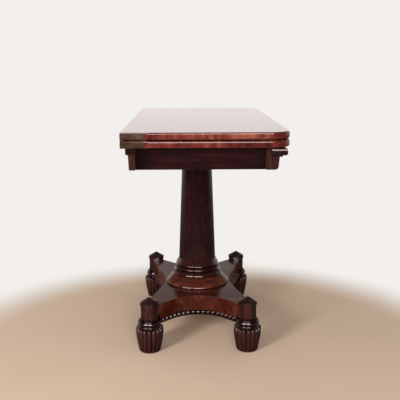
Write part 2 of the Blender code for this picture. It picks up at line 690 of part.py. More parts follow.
def add_frieze_mouldings():
    """The rolled moulding along the front and the flat lip along the back, both returned on the ends."""
    end_x = BOARD_END_X + FIT
    radius = ROLL_HEIGHT / 2
    nose = (ROLL_PROJECTION - radius, FRIEZE_TOP_Z - radius)
    fillet_top = FRIEZE_TOP_Z - ROLL_HEIGHT
    section = [(0, FRIEZE_TOP_Z)]
    section += arc(nose, radius, 90, -90)
    section += [(FILLET_PROJECTION, fillet_top), (FILLET_PROJECTION, fillet_top - FILLET_HEIGHT)]
    section += [(0, fillet_top - FILLET_HEIGHT)]
    face_y = FRONT_FACE_Y - FIT
    front_path = [
        Vector((-end_x, face_y + ROLL_RETURN)),
        Vector((-end_x, face_y)),
        Vector((end_x, face_y)),
        Vector((end_x, face_y + ROLL_RETURN)),
    ]
    add_part("roll_moulding", mitred_mesh("roll_moulding", front_path, section), ROSEWOOD, smooth=True)
    lip_section = [
        (0, FRIEZE_TOP_Z),
        (LIP_PROJECTION, FRIEZE_TOP_Z),
        (LIP_PROJECTION, FRIEZE_TOP_Z - LIP_HEIGHT + LIP_PROJECTION / 3),
        (LIP_PROJECTION * 2 / 3, FRIEZE_TOP_Z - LIP_HEIGHT),
        (0, FRIEZE_TOP_Z - LIP_HEIGHT),
    ]
    back_y = BACK_FACE_Y + FIT
    back_path = [
        Vector((end_x, back_y - LIP_RETURN)),
        Vector((end_x, back_y)),
        Vector((-end_x, back_y)),
        Vector((-end_x, back_y - LIP_RETURN)),
    ]
    add_part("back_lip", mitred_mesh("back_lip", back_path, lip_section), ROSEWOOD)


def add_column():
    """The tapered column with its tenons, the ringed collar and the domed base."""
    tenon_top = BEARER_BOTTOM_Z + TOP_TENON_LENGTH
    tenon_bottom = GADROON_BOTTOM_Z + UNDERBOARD_LIFT
    column_points = [
        (0, tenon_top),
        (TOP_TENON_RADIUS, tenon_top),
        (TOP_TENON_RADIUS, COLUMN_SHOULDER_Z),
        (COLUMN_TOP_RADIUS, COLUMN_SHOULDER_Z),
        (COLUMN_FOOT_RADIUS, COLUMN_FOOT_HEIGHT),
        (FOOT_TENON_RADIUS, COLUMN_FOOT_HEIGHT),
        (FOOT_TENON_RADIUS, tenon_bottom),
        (0, tenon_bottom),
    ]
    add_turned("column", column_points, COLUMN_SIDES, ROSEWOOD, COLUMN_AXIS)

    bore = FOOT_TENON_RADIUS + FIT
    collar_top = COLUMN_FOOT_HEIGHT - FIT
    upper_bottom = collar_top - UPPER_RING_HEIGHT
    middle_bottom = upper_bottom - MIDDLE_RING_HEIGHT
    collar_points = [(bore, collar_top)]
    for neck, radius, nose, top, bottom in (
        (COLUMN_FOOT_RADIUS, UPPER_RING_RADIUS, RING_NOSE, collar_top, upper_bottom),
        (MIDDLE_RING_NECK, MIDDLE_RING_RADIUS, RING_NOSE, upper_bottom, middle_bottom),
        (LOWER_RING_NECK, LOWER_RING_RADIUS, LOWER_RING_NOSE, middle_bottom, COLLAR_BOTTOM_Z),
    ):
        collar_points += ring_profile(neck, radius, nose, top, bottom, TURNED_STEPS)
    collar_points.append((bore, COLLAR_BOTTOM_Z))
    add_turned("column_collar", collar_points, COLUMN_SIDES, ROSEWOOD, COLUMN_AXIS, closed=True)

    dome_top = COLLAR_BOTTOM_Z - FIT
    dome_bottom = PLATFORM_TOP + FIT
    dome_points = [(bore, dome_top)]
    dome_points += ring_profile(DOME_TOP_RADIUS, DOME_RADIUS, DOME_NOSE, dome_top, dome_bottom, TURNED_STEPS)
    dome_points.append((bore, dome_bottom))
    add_turned("column_base", dome_points, COLUMN_SIDES, ROSEWOOD, COLUMN_AXIS, closed=True)


def ring_profile(neck, radius, nose, top, bottom, steps):
    """The outer side of a turned ring: a straight slope from its neck that runs into a round nose."""
    centre = (radius - nose, bottom + nose)
    to_neck = Vector((neck - centre[0], top - centre[1]))
    towards = math.atan2(to_neck.y, to_neck.x)
    start = towards - math.acos(nose / to_neck.length)
    return [(neck, top)] + arc(centre, nose, math.degrees(start), -90, steps)


def hollow_side(waist, radius, spring, inset, steps):
    """One hollow side from the middle to a post: an arc, then a straight run to the spring point.

    Points are pairs of a distance along the side and a distance out from the column axis.
    """
    centre_out = waist + radius
    along, out = spring
    reach = math.hypot(along, centre_out - out)
    lean = math.atan2(along, centre_out - out)
    contact = lean - math.acos(min(1, radius / reach))
    sweep = radius + inset
    points = []
    for i in range(steps + 1):
        angle = contact * i / steps
        points.append((sweep * math.sin(angle), centre_out - sweep * math.cos(angle)))
    points.append((along + inset * math.sin(contact), out - inset * math.cos(contact)))
    return points


def end_side(inset=0, steps=ARC_STEPS):
    spring = (POST_Y - POST_HALF, POST_X - POST_FACET)
    return hollow_side(END_WAIST, END_HOLLOW_RADIUS, spring, inset, steps)


def long_side(inset=0, steps=ARC_STEPS):
    spring = (POST_X - POST_HALF, POST_Y + POST_FACET)
    return hollow_side(SIDE_WAIST, SIDE_HOLLOW_RADIUS, spring, inset, steps)


def platform_outline(inset):
    """Four hollow sides between the posts, about the column axis."""
    end = end_side(inset)
    side = long_side(inset)
    quarter = [(out, along) for along, out in end] + list(reversed(side))
    points = quarter[:-1]
    points += [(-x, y) for x, y in reversed(quarter[1:])]
    points += [(-x, -y) for x, y in quarter[:-1]]
    points += [(x, -y) for x, y in reversed(quarter[1:])]
    return points


def add_platform():
    """The platform, the board below it and the gadrooned mouldings under its edges."""
    outline = platform_outline(0)
    middle_z = (PLATFORM_TOP + PLATFORM_BOTTOM_Z) / 2
    mesh = outline_mesh("platform", outline, PLATFORM_THICKNESS)
    platform = add_part("platform", mesh, CROSSBANDING, COLUMN_AXIS + Vector((0, 0, middle_z)))
    under_height = GADROON_HEIGHT - UNDERBOARD_LIFT
    under_mesh = outline_mesh("underboard", platform_outline(GADROON_DEPTH + FIT), under_height)
    under_place = COLUMN_AXIS + Vector((0, 0, GADROON_TOP_Z - under_height / 2))
    underboard = add_part("underboard", under_mesh, PALE_PINE, under_place)

    tenon_mesh = round_bar_mesh("tenon_hole", FOOT_TENON_RADIUS + FIT, 2 * PLATFORM_TOP, COLUMN_SIDES)
    tenon_hole = add_cutter("tenon_hole", tenon_mesh, COLUMN_AXIS + Vector((0, 0, PLATFORM_TOP)))
    post_length = 2 * PLATFORM_TOP
    post_cut = octagon_mesh("post_cut", POST_HALF + FIT, post_length)
    posts_mesh = at_corners("posts_cut", post_cut, FOOT_HEIGHT + post_length / 2)
    posts_cutter = add_cutter("posts_cut", posts_mesh, COLUMN_AXIS)
    collar_cut = round_bar_mesh("collar_cut", FLANGE_RADIUS + FIT, FOOT_HEIGHT, 2 * FOOT_TURNED_SIDES)
    collars_mesh = at_corners("foot_collars_cut", collar_cut, FOOT_HEIGHT / 2 + FIT)
    collars_cutter = add_cutter("foot_collars_cut", collars_mesh, COLUMN_AXIS)
    for board in (platform, underboard):
        combine(board, tenon_hole, "DIFFERENCE")
        combine(board, collars_cutter, "DIFFERENCE")
    combine(platform, posts_cutter, "DIFFERENCE")

    for name, turn, side in (
        ("gadroon_left", 180, end_side),
        ("gadroon_right", 0, end_side),
        ("gadroon_front", -90, long_side),
        ("gadroon_back", 90, long_side),
    ):
        mesh = gadroon_mesh(name, side)
        mesh.transform(Matrix.Rotation(math.radians(turn), 4, "Z"))
        strip = add_part(name, mesh, ROSEWOOD, COLUMN_AXIS)
        combine(strip, collars_cutter, "DIFFERENCE")


def gadroon_mesh(name, side):
    """A strip of slanting lobes along one hollow side that faces +X."""
    half = [Vector((out, along)) for along, out in side(steps=FINE_ARC_STEPS)]
    path = [Vector((p.x, -p.y)) for p in reversed(half[1:])] + half
    lengths = [0]
    for before, after in zip(path, path[1:]):
        lengths.append(lengths[-1] + (after - before).length)
    lobes = round(lengths[-1] / GADROON_PITCH)
    stations = GADROON_STEPS * lobes
    middle_z = (GADROON_TOP_Z + GADROON_BOTTOM_Z) / 2
    rings = []
    for i in range(stations + 1):
        swell = 0 if i % GADROON_STEPS == 0 else 1
        ring = []
        for out, z in gadroon_section(swell):
            lean = GADROON_SLANT * (z - middle_z) / GADROON_HEIGHT
            point, normal = along_path(path, lengths, lengths[-1] * i / stations + lean)
            ring.append((point.x + normal.x * out, point.y + normal.y * out, z))
        rings.append(ring)
    return loft_mesh(name, rings)


def along_path(path, lengths, distance):
    """The point at a distance along a path, with the normal on its right-hand side."""
    index = 0
    while index + 2 < len(path) and lengths[index + 1] < distance:
        index += 1
    step = path[index + 1] - path[index]
    share = (distance - lengths[index]) / step.length
    tangent = step.normalized()
    return path[index] + step * share, Vector((tangent.y, -tangent.x))


def gadroon_section(swell):
    """The moulding's section, outward from the platform's face and upward."""
    belly = swell * (GADROON_PROJECTION + GADROON_VALLEY) - GADROON_VALLEY
    foot = swell * GADROON_VALLEY / 2 - GADROON_VALLEY
    return [
        (-GADROON_DEPTH, GADROON_TOP_Z),
        (foot, GADROON_TOP_Z),
        (belly, GADROON_TOP_Z - GADROON_HEIGHT * GADROON_SHOULDER),
        (belly, GADROON_BOTTOM_Z + GADROON_HEIGHT * GADROON_SHOULDER),
        (foot, GADROON_BOTTOM_Z),
        (-GADROON_DEPTH, GADROON_BOTTOM_Z),
    ]


def add_posts():
    """Octagonal corner posts with pyramid caps."""
    post_bottom = FOOT_HEIGHT + FIT
    post_height = POST_TOP - post_bottom
    post_mesh = octagon_mesh("corner_post", POST_HALF, post_height)
    dowel_depth = DOWEL_LENGTH + FIT
    dowel_mesh = round_bar_mesh("dowel_hole", DOWEL_RADIUS + FIT, 2 * dowel_depth, FOOT_TURNED_SIDES)
    cap_mesh = post_cap_mesh()
    for corner, (sx, sy) in CORNERS.items():
        place = COLUMN_AXIS + Vector((sx * POST_X, sy * POST_Y, 0))
        middle = place + Vector((0, 0, post_bottom + post_height / 2))
        post = add_part(f"corner_post_{corner}", post_mesh.copy(), ROSEWOOD, middle)
        hole = add_cutter(f"dowel_hole_{corner}", dowel_mesh, place + Vector((0, 0, FOOT_HEIGHT)))
        combine(post, hole, "DIFFERENCE")
        add_part(f"post_cap_{corner}", cap_mesh.copy(), ROSEWOOD, place + Vector((0, 0, POST_TOP + FIT)))


def post_cap_mesh():
    """A low octagonal pyramid on an upright rim, with its underside at Z = 0."""
    work = bmesh.new()
    radius = (POST_HALF + CAP_OVERHANG) / math.cos(math.pi / 8)
    turn = Matrix.Rotation(math.pi / 8, 4, "Z")
    rim = Matrix.Translation((0, 0, CAP_RIM / 2)) @ turn
    bmesh.ops.create_cone(
        work, cap_ends=True, segments=8, radius1=radius, radius2=radius, depth=CAP_RIM, matrix=rim
    )
    top = max(work.faces, key=lambda face: face.calc_center_median().z)
    apex = bmesh.ops.poke(work, faces=[top])["verts"][0]
    apex.co.z += CAP_RISE
    return mesh_from("post_cap", work)


def add_feet():
    """Reeded bulbs under ringed collars, each with a dowel up into its post."""
    bulb = bulb_mesh()
    collar_points = foot_collar_profile()
    for corner, (sx, sy) in CORNERS.items():
        place = COLUMN_AXIS + Vector((sx * POST_X, sy * POST_Y, 0))
        foot = add_part(f"foot_{corner}", bulb.copy(), ROSEWOOD, place, smooth=True)
        collar_name = f"foot_collar_{corner}"
        collar = add_cutter(collar_name, profile_mesh(collar_name, collar_points, False), place)
        turn_profile(collar, FOOT_TURNED_SIDES)
        combine(foot, collar, "UNION")


def foot_collar_profile():
    """The turned part of a foot: dowel, short neck, half-round flange and a ring above the bulb."""
    flange_top = FOOT_HEIGHT - SHOULDER_HEIGHT
    flange_bottom = flange_top - FLANGE_HEIGHT
    inside = BULB_HEIGHT - LOBE_DEPTH * 2
    points = [
        (0, FOOT_HEIGHT + DOWEL_LENGTH),
        (DOWEL_RADIUS, FOOT_HEIGHT + DOWEL_LENGTH),
        (DOWEL_RADIUS, FOOT_HEIGHT),
        (SHOULDER_RADIUS, FOOT_HEIGHT),
    ]
    points += ring_profile(
        SHOULDER_RADIUS, FLANGE_RADIUS, FLANGE_HEIGHT / 2, flange_top, flange_bottom, FOOT_RING_STEPS
    )
    points += ring_profile(
        NECK_RADIUS, FOOT_RING_RADIUS, RING_NOSE, flange_bottom, BULB_HEIGHT, FOOT_RING_STEPS
    )
    points += [(NECK_RADIUS - LOBE_DEPTH, inside), (0, inside)]
    return points


def bulb_mesh():
    """A bulb that narrows to the floor, cut into upright lobes all round."""
    sections = [
        (up * BULB_HEIGHT, BULB_BASE_RADIUS + out * (BULB_RADIUS - BULB_BASE_RADIUS), LOBE_DEPTH * deep)
        for up, out, deep in BULB_SECTIONS
    ]
    sections.append((BULB_HEIGHT, NECK_RADIUS, LOBE_DEPTH * NECK_LOBE))
    count = FOOT_LOBES * LOBE_STEPS
    rings = []
    for z, radius, depth in sections:
        ring = []
        for i in range(count):
            angle = math.tau * i / count
            swell = abs(math.sin(FOOT_LOBES * angle / 2)) ** LOBE_FULLNESS
            lobed = radius - depth * (1 - swell)
            ring.append((lobed * math.cos(angle), lobed * math.sin(angle), z))
        rings.append(ring)
    return loft_mesh("reeded_bulb", rings)


bolt_way = add_top()
add_frieze(bolt_way)
add_frieze_mouldings()
add_column()
add_platform()
add_posts()
add_feet()
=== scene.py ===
"""Finishes a fold-over games table round its solids: polished rosewood, figured veneer, brass and baize.

Metres, +Z up. Every piece keeps its place in its mesh and its origin at the world's origin, as the
solids do, so a pattern that follows object coordinates moves with its piece.
"""
import json
import math

import bmesh
import bpy
from bpy.props import FloatProperty, FloatVectorProperty, IntProperty, PointerProperty
from mathutils import Matrix, Vector

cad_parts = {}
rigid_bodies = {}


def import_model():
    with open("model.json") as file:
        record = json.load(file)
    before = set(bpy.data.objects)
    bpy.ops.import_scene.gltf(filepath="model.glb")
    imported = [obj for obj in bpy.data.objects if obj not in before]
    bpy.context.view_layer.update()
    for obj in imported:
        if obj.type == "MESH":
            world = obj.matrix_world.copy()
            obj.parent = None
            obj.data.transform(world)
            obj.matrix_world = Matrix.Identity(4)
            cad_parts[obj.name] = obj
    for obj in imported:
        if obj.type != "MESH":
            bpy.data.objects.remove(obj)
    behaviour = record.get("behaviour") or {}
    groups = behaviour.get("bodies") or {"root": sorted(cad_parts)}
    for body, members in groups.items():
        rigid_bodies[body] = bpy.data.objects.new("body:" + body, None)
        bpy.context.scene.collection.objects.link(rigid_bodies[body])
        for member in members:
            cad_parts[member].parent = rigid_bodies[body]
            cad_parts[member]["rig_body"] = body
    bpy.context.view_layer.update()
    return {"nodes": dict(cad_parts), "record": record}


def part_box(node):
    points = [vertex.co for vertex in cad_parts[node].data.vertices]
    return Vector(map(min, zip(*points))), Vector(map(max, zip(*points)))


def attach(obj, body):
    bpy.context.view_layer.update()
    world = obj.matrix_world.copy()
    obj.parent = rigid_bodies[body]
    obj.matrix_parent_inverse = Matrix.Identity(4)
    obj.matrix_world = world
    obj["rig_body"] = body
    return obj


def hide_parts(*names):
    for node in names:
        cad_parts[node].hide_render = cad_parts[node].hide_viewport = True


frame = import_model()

bl_info = {
    "name": "Games Table",
    "version": (1, 0, 0),
    "blender": (4, 5, 0),
    "location": "3D View > Sidebar > Games Table",
    "description": "Finishes the pieces of a fold-over games table and sets them on a plain stage",
    "category": "Object",
}

SLOTS = {part["node"]: part["material_slot"] for part in frame["record"]["subparts"]}
CORNERS = {"front_left": (-1, -1), "front_right": (1, -1), "back_left": (-1, 1), "back_right": (1, 1)}
ENDS = {"left": -1, "right": 1}

FIT = 0.0003              # gap between pieces that touch
WELD = 0.00001
FLAT_ANGLE = math.radians(0.5)
SMOOTH_ANGLE = math.radians(38)
MM = 0.001

TURNED_STEPS = 96         # round a turned body
ARC_STEPS = 12            # along a small rounding
FACING = 0.9              # least part of a face's normal along an axis that it faces

# Painted shade in the hollows of turned and carved work
FULL_HOLLOW = 0.35        # mean rise of the points round a hollow that is full of it
THINNED = 0.6             # share that reaches the next point

# Screw heads: shares of the radius, share of the rise, and the turns of the first and the next slots
SCREW_SLOT, SCREW_RISE, SCREW_CROWN = 0.16, 0.14, 0.9
SCREW_SHOULDER = 0.6
SCREW_TURNS = (25, 40)

# Streaks, ground and figure of each wood, among the settings
ROSEWOOD = ("rosewood_dark", "rosewood", "rosewood_light")
RED_ROSEWOOD = ("rosewood_dark", "turned", "flame")
FLAME = ("flame_dark", "flame", "flame_light")
EDGE = ("edge_dark", "edge", "edge_light")

PLAIN_CONTRAST = 0.55     # of rosewood without much figure

# Least and greatest roughness of each finish
FINISHES = {
    "french_polished": (0.05, 0.12),
    "buffed": (0.14, 0.20),
    "waxed": (0.24, 0.34),
    "carved": (0.34, 0.44),
}

# Places that the solids give
UPPER_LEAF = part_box("upper_leaf")
LOWER_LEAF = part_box("lower_leaf")
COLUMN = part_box("column")
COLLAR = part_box("column_collar")
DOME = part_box("column_base")
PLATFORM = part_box("platform")
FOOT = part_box("foot_front_left")
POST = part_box("corner_post_front_left")
AXIS = (COLUMN[0] + COLUMN[1]) / 2
POST_X = AXIS.x - (POST[0].x + POST[1].x) / 2
POST_Y = AXIS.y - (POST[0].y + POST[1].y) / 2
POST_HALF = (POST[1].x - POST[0].x) / 2
POST_FACET = POST_HALF * math.tan(math.pi / 8)


def linear(hex_colour):
    """An sRGB hex colour as linear red, green and blue."""
    channels = [int(hex_colour[i:i + 2], 16) / 255 for i in (1, 3, 5)]
    return [c / 12.92 if c <= 0.04045 else ((c + 0.055) / 1.055) ** 2.4 for c in channels]


def colour(name, description, hex_colour):
    return FloatVectorProperty(
        name=name, description=description, subtype="COLOR", size=3, min=0, max=1, default=linear(hex_colour)
    )


def length(name, description, metres):
    return FloatProperty(name=name, description=description, unit="LENGTH", min=0, default=metres)


def share(name, description, part):
    return FloatProperty(name=name, description=description, subtype="FACTOR", min=0, max=1, default=part)


class WoodSettings(bpy.types.PropertyGroup):
    """Colours of the woods."""

    rosewood_dark: colour("Rosewood streaks", "Darkest streaks of the rosewood", "#100607")
    rosewood: colour("Rosewood", "Ground of the rosewood", "#220d0f")
    rosewood_light: colour("Rosewood figure", "Lightest figure of the rosewood", "#3e1a17")
    edge_dark: colour("Edge streaks", "Darkest streaks of the veneer on the leaves' edges", "#3a1512")
    edge: colour("Edge veneer", "Ground of the veneer on the leaves' edges", "#692b24")
    edge_light: colour("Edge figure", "Lightest figure of the veneer on the leaves' edges", "#965a44")
    turned: colour("Turned rosewood", "Ground of the posts and of the column's collar", "#2e110f")
    dome: colour("Dome", "Ground of the veneer on the domed base", "#4c2117")
    end_grain: colour("End grain", "Polished end grain of the frieze's boards", "#341d1b")
    platform_top: colour("Platform top", "Ground of the platform's waxed top", "#3c1813")
    flame_dark: colour("Flame streaks", "Darkest streaks of the platform's veneer", "#260d09")
    flame: colour("Flame veneer", "Ground of the platform's veneer", "#421911")
    flame_light: colour("Flame figure", "Lightest figure of the platform's veneer", "#703722")
    worn: colour("Worn polish", "Wood that shows where the polish is rubbed from an arris", "#6a4230")
    pine: colour("Pine", "Ground of the planed pine", "#c8a271")
    pine_dark: colour("Pine rings", "Late wood of the planed pine", "#9c6f3f")
    beech: colour("Beech", "Ground of the planed beech", "#b98c60")
    beech_dark: colour("Beech flecks", "Flecks of the planed beech", "#8d6038")


class MetalSettings(bpy.types.PropertyGroup):
    """Colours of the metal fittings."""

    brass: colour("Brass", "Brass where hands have kept it clean", "#453529")
    tarnish: colour("Tarnish", "Brass under its brown tarnish", "#31251d")
    iron: colour("Iron", "Blackened iron", "#3a3735")
    rust: colour("Rust", "Bloom of rust on the iron", "#4d3022")


class ClothSettings(bpy.types.PropertyGroup):
    """The baize on the playing surfaces."""

    baize: colour("Baize", "Ground of the green wool", "#1d4a32")
    nap: colour("Baize nap", "Fibres that stand up from the baize", "#3c6e4d")
    thickness: length("Thickness", "Thickness of the baize", 0.001)
    swell: length("Swell", "How far the cloth rises and falls over its ground", 0.00012)


class ShapeSettings(bpy.types.PropertyGroup):
    """Sizes of the turned, carved and moulded details."""

    leaf_arris: length("Leaf arris", "Rounding of the leaves' edges", 0.0058)
    arris: length("Arris", "Rounding of the boards' edges", 0.0008)
    fine_arris: length("Fine arris", "Rounding of edges on small pieces and metal", 0.0003)
    column_top_radius: length("Column top radius", "Radius under the frieze", 0.0485)
    top_tenon: length("Top tenon", "Radius of the tenon in the bearer", 0.025)
    foot_tenon: length("Foot tenon", "Radius of the tenon through the platform", 0.030)
    ring_nose: length("Ring nose", "Rounding at the fullest part of a ring", 0.0035)
    upper_ring_radius: length("Upper ring radius", "Radius of the collar's upper ring", 0.0732)
    upper_ring_height: length("Upper ring height", "Height of the collar's upper ring", 0.0228)
    middle_ring_neck: length("Middle ring neck", "Radius above the collar's middle ring", 0.0630)
    middle_ring_radius: length("Middle ring radius", "Radius of the collar's middle ring", 0.0770)
    middle_ring_height: length("Middle ring height", "Height of the collar's middle ring", 0.0120)
    lower_ring_neck: length("Lower ring neck", "Radius above the collar's lower ring", 0.0670)
    lower_ring_nose: length("Lower ring nose", "Rounding of the collar's lower ring", 0.0070)
    dome_top_radius: length("Dome top radius", "Radius where the dome meets the collar", 0.0800)
    dome_nose: length("Dome nose", "Rounding of the dome's rim", 0.0045)
    roll_height: length("Roll height", "Height of the rolled moulding", 0.0205)
    roll_fillet: length("Roll fillet", "Projection of the fillet below the roll", 0.0045)
    gadroon_pitch: length("Gadroon pitch", "Width of one lobe with its hollow", 0.0164)
    gadroon_slant: length("Gadroon slant", "Lean of a lobe over its height", 0.0055)
    gadroon_projection: length("Gadroon projection", "Projection before the platform's face", 0.0048)
    gadroon_valley: length("Gadroon valley", "Depth of the hollows behind the platform's face", 0.0028)
    gadroon_depth: length("Gadroon depth", "Depth of the strip behind the platform's face", 0.0140)
    end_waist: length("End waist", "Middle of an end's hollow from the column axis", 0.160)
    end_hollow: length("End hollow", "Radius of an end's hollow", 0.125)
    side_waist: length("Side waist", "Middle of a long side's hollow from the column axis", 0.1135)
    side_hollow: length("Side hollow", "Radius of a long side's hollow", 0.250)
    foot_lobes: IntProperty(name="Foot lobes", description="Lobes round a foot", min=3, default=16)
    lobe_depth: length("Lobe depth", "Depth of the hollows between a foot's lobes", 0.0048)
    lobe_round: share("Lobe tops", "Share of the bulb's height over which a lobe's top rounds off", 0.09)
    dowel: length("Dowel", "Radius of a foot's dowel", 0.009)
    shoulder_radius: length("Shoulder radius", "Radius of the short neck over a flange", 0.0290)
    shoulder_height: length("Shoulder height", "Height of the short neck under a post", 0.0075)
    flange_radius: length("Flange radius", "Radius of a foot's flange", 0.0370)
    flange_swell: length("Flange swell", "Rounding of the front of a foot's flange", 0.0120)
    flange_height: length("Flange height", "Height of a foot's flange", 0.0110)
    foot_neck: length("Foot neck", "Radius of the neck above a foot's lobes", 0.0305)
    foot_ring: length("Foot ring", "Radius of the ring above a foot's lobes", 0.0350)
    bulb_height: length("Bulb height", "Height of a foot's lobed bulb", 0.0800)
    bulb_radius: length("Bulb radius", "Radius of a foot's fullest part", 0.0440)
    bulb_base: length("Bulb base", "Radius of a foot on the floor", 0.0330)
    screw_radius: length("Screw radius", "Radius of the hinge screws' heads", 0.0024)


class StageSettings(bpy.types.PropertyGroup):
    """The plain stage, its light and the camera."""

    background: colour("Background", "Plain background", "#f2efec")
    gloss: colour("Room in gloss", "The room as polished wood shows it", "#f2e8e5")
    floor: colour("Floor", "Plain pale floor", "#c4ad97")
    floor_gloss: share("Floor in gloss", "Brightness of the floor's reflection in polished wood", 0.3)
    ambient: FloatProperty(name="Ambient", description="Even light from all round", min=0, default=0.68)
    lamp: FloatProperty(name="Lamps", description="Power of a window light", unit="POWER", min=0, default=70)
    panes: FloatProperty(name="Panes", description="Brightness of the windows in gloss", min=0, default=18)
    lens: FloatProperty(
        name="Lens", description="Focal length", subtype="DISTANCE_CAMERA", unit="CAMERA", default=56.71
    )


class TableSettings(bpy.types.PropertyGroup):
    """All that a user would change."""

    wood: PointerProperty(type=WoodSettings)
    metal: PointerProperty(type=MetalSettings)
    cloth: PointerProperty(type=ClothSettings)
    shape: PointerProperty(type=ShapeSettings)
    stage: PointerProperty(type=StageSettings)


# Materials


# Inputs of Map Range: 0 is the value, 1 and 2 the span that is read, 3 and 4 the span that it becomes.
# Inputs of Mix: 0 is the share, 2 and 3 are two numbers, 6 and 7 two colours.


def wire(tree, node, inputs):
    """Links a node's inputs to other nodes, or sets their values."""
    for socket, value in inputs.items():
        if isinstance(value, bpy.types.NodeSocket):
            tree.links.new(value, node.inputs[socket])
        else:
            node.inputs[socket].default_value = value


def add_node(tree, kind, inputs=None, stops=None, **settings):
    """Adds a shader node with its settings, inputs and the stops of its ramp, and gives its outputs."""
    node = tree.nodes.new(kind)
    for name, value in settings.items():
        setattr(node, name, value)
    wire(tree, node, inputs or {})
    if stops:
        elements = node.color_ramp.elements
        elements[0].position, elements[0].color = stops[0][0], (*stops[0][1], 1)
        elements[1].position, elements[1].color = stops[-1][0], (*stops[-1][1], 1)
        for position, tone in stops[1:-1]:
            elements.new(position).color = (*tone, 1)
    return node.outputs


def new_material(name):
    material = bpy.data.materials.new(name)
    material.use_nodes = True
    return material, material.node_tree, material.node_tree.nodes["Principled BSDF"]


def grain_scale(grain, width_mm, length_mm):
    """Pattern frequency on each axis for marks of a real width and of a real length along the grain."""
    return [1 / ((length_mm if axis == grain else width_mm) * MM) for axis in "XYZ"]


def border_place(tree, place):
    """Coordinates for veneer laid across the edges of a leaf: X runs along the nearest edge."""
    split = add_node(tree, "ShaderNodeSeparateXYZ", {0: place})
    half = LOWER_LEAF[1]
    size_x = add_node(tree, "ShaderNodeMath", {0: split["X"]}, operation="ABSOLUTE")[0]
    size_y = add_node(tree, "ShaderNodeMath", {0: split["Y"]}, operation="ABSOLUTE")[0]
    from_end = add_node(tree, "ShaderNodeMath", {0: half.x, 1: size_x}, operation="SUBTRACT")[0]
    from_side = add_node(tree, "ShaderNodeMath", {0: half.y, 1: size_y}, operation="SUBTRACT")[0]
    at_end = add_node(tree, "ShaderNodeMath", {0: from_end, 1: from_side}, operation="LESS_THAN")[0]
    along = add_node(tree, "ShaderNodeMix", {0: at_end, 2: split["X"], 3: split["Y"]})[0]
    across = add_node(tree, "ShaderNodeMix", {0: at_end, 2: split["Y"], 3: split["X"]})[0]
    return add_node(tree, "ShaderNodeCombineXYZ", {0: along, 1: across, 2: split["Z"]})[0]


def edge_place(tree, place):
    """Coordinates for upright veneer on the edges of a leaf: X runs round the leaf."""
    split = add_node(tree, "ShaderNodeSeparateXYZ", {0: place})
    around = add_node(tree, "ShaderNodeMath", {0: split["X"], 1: split["Y"]}, operation="ADD")[0]
    return add_node(tree, "ShaderNodeCombineXYZ", {0: around, 2: split["Z"]})[0]


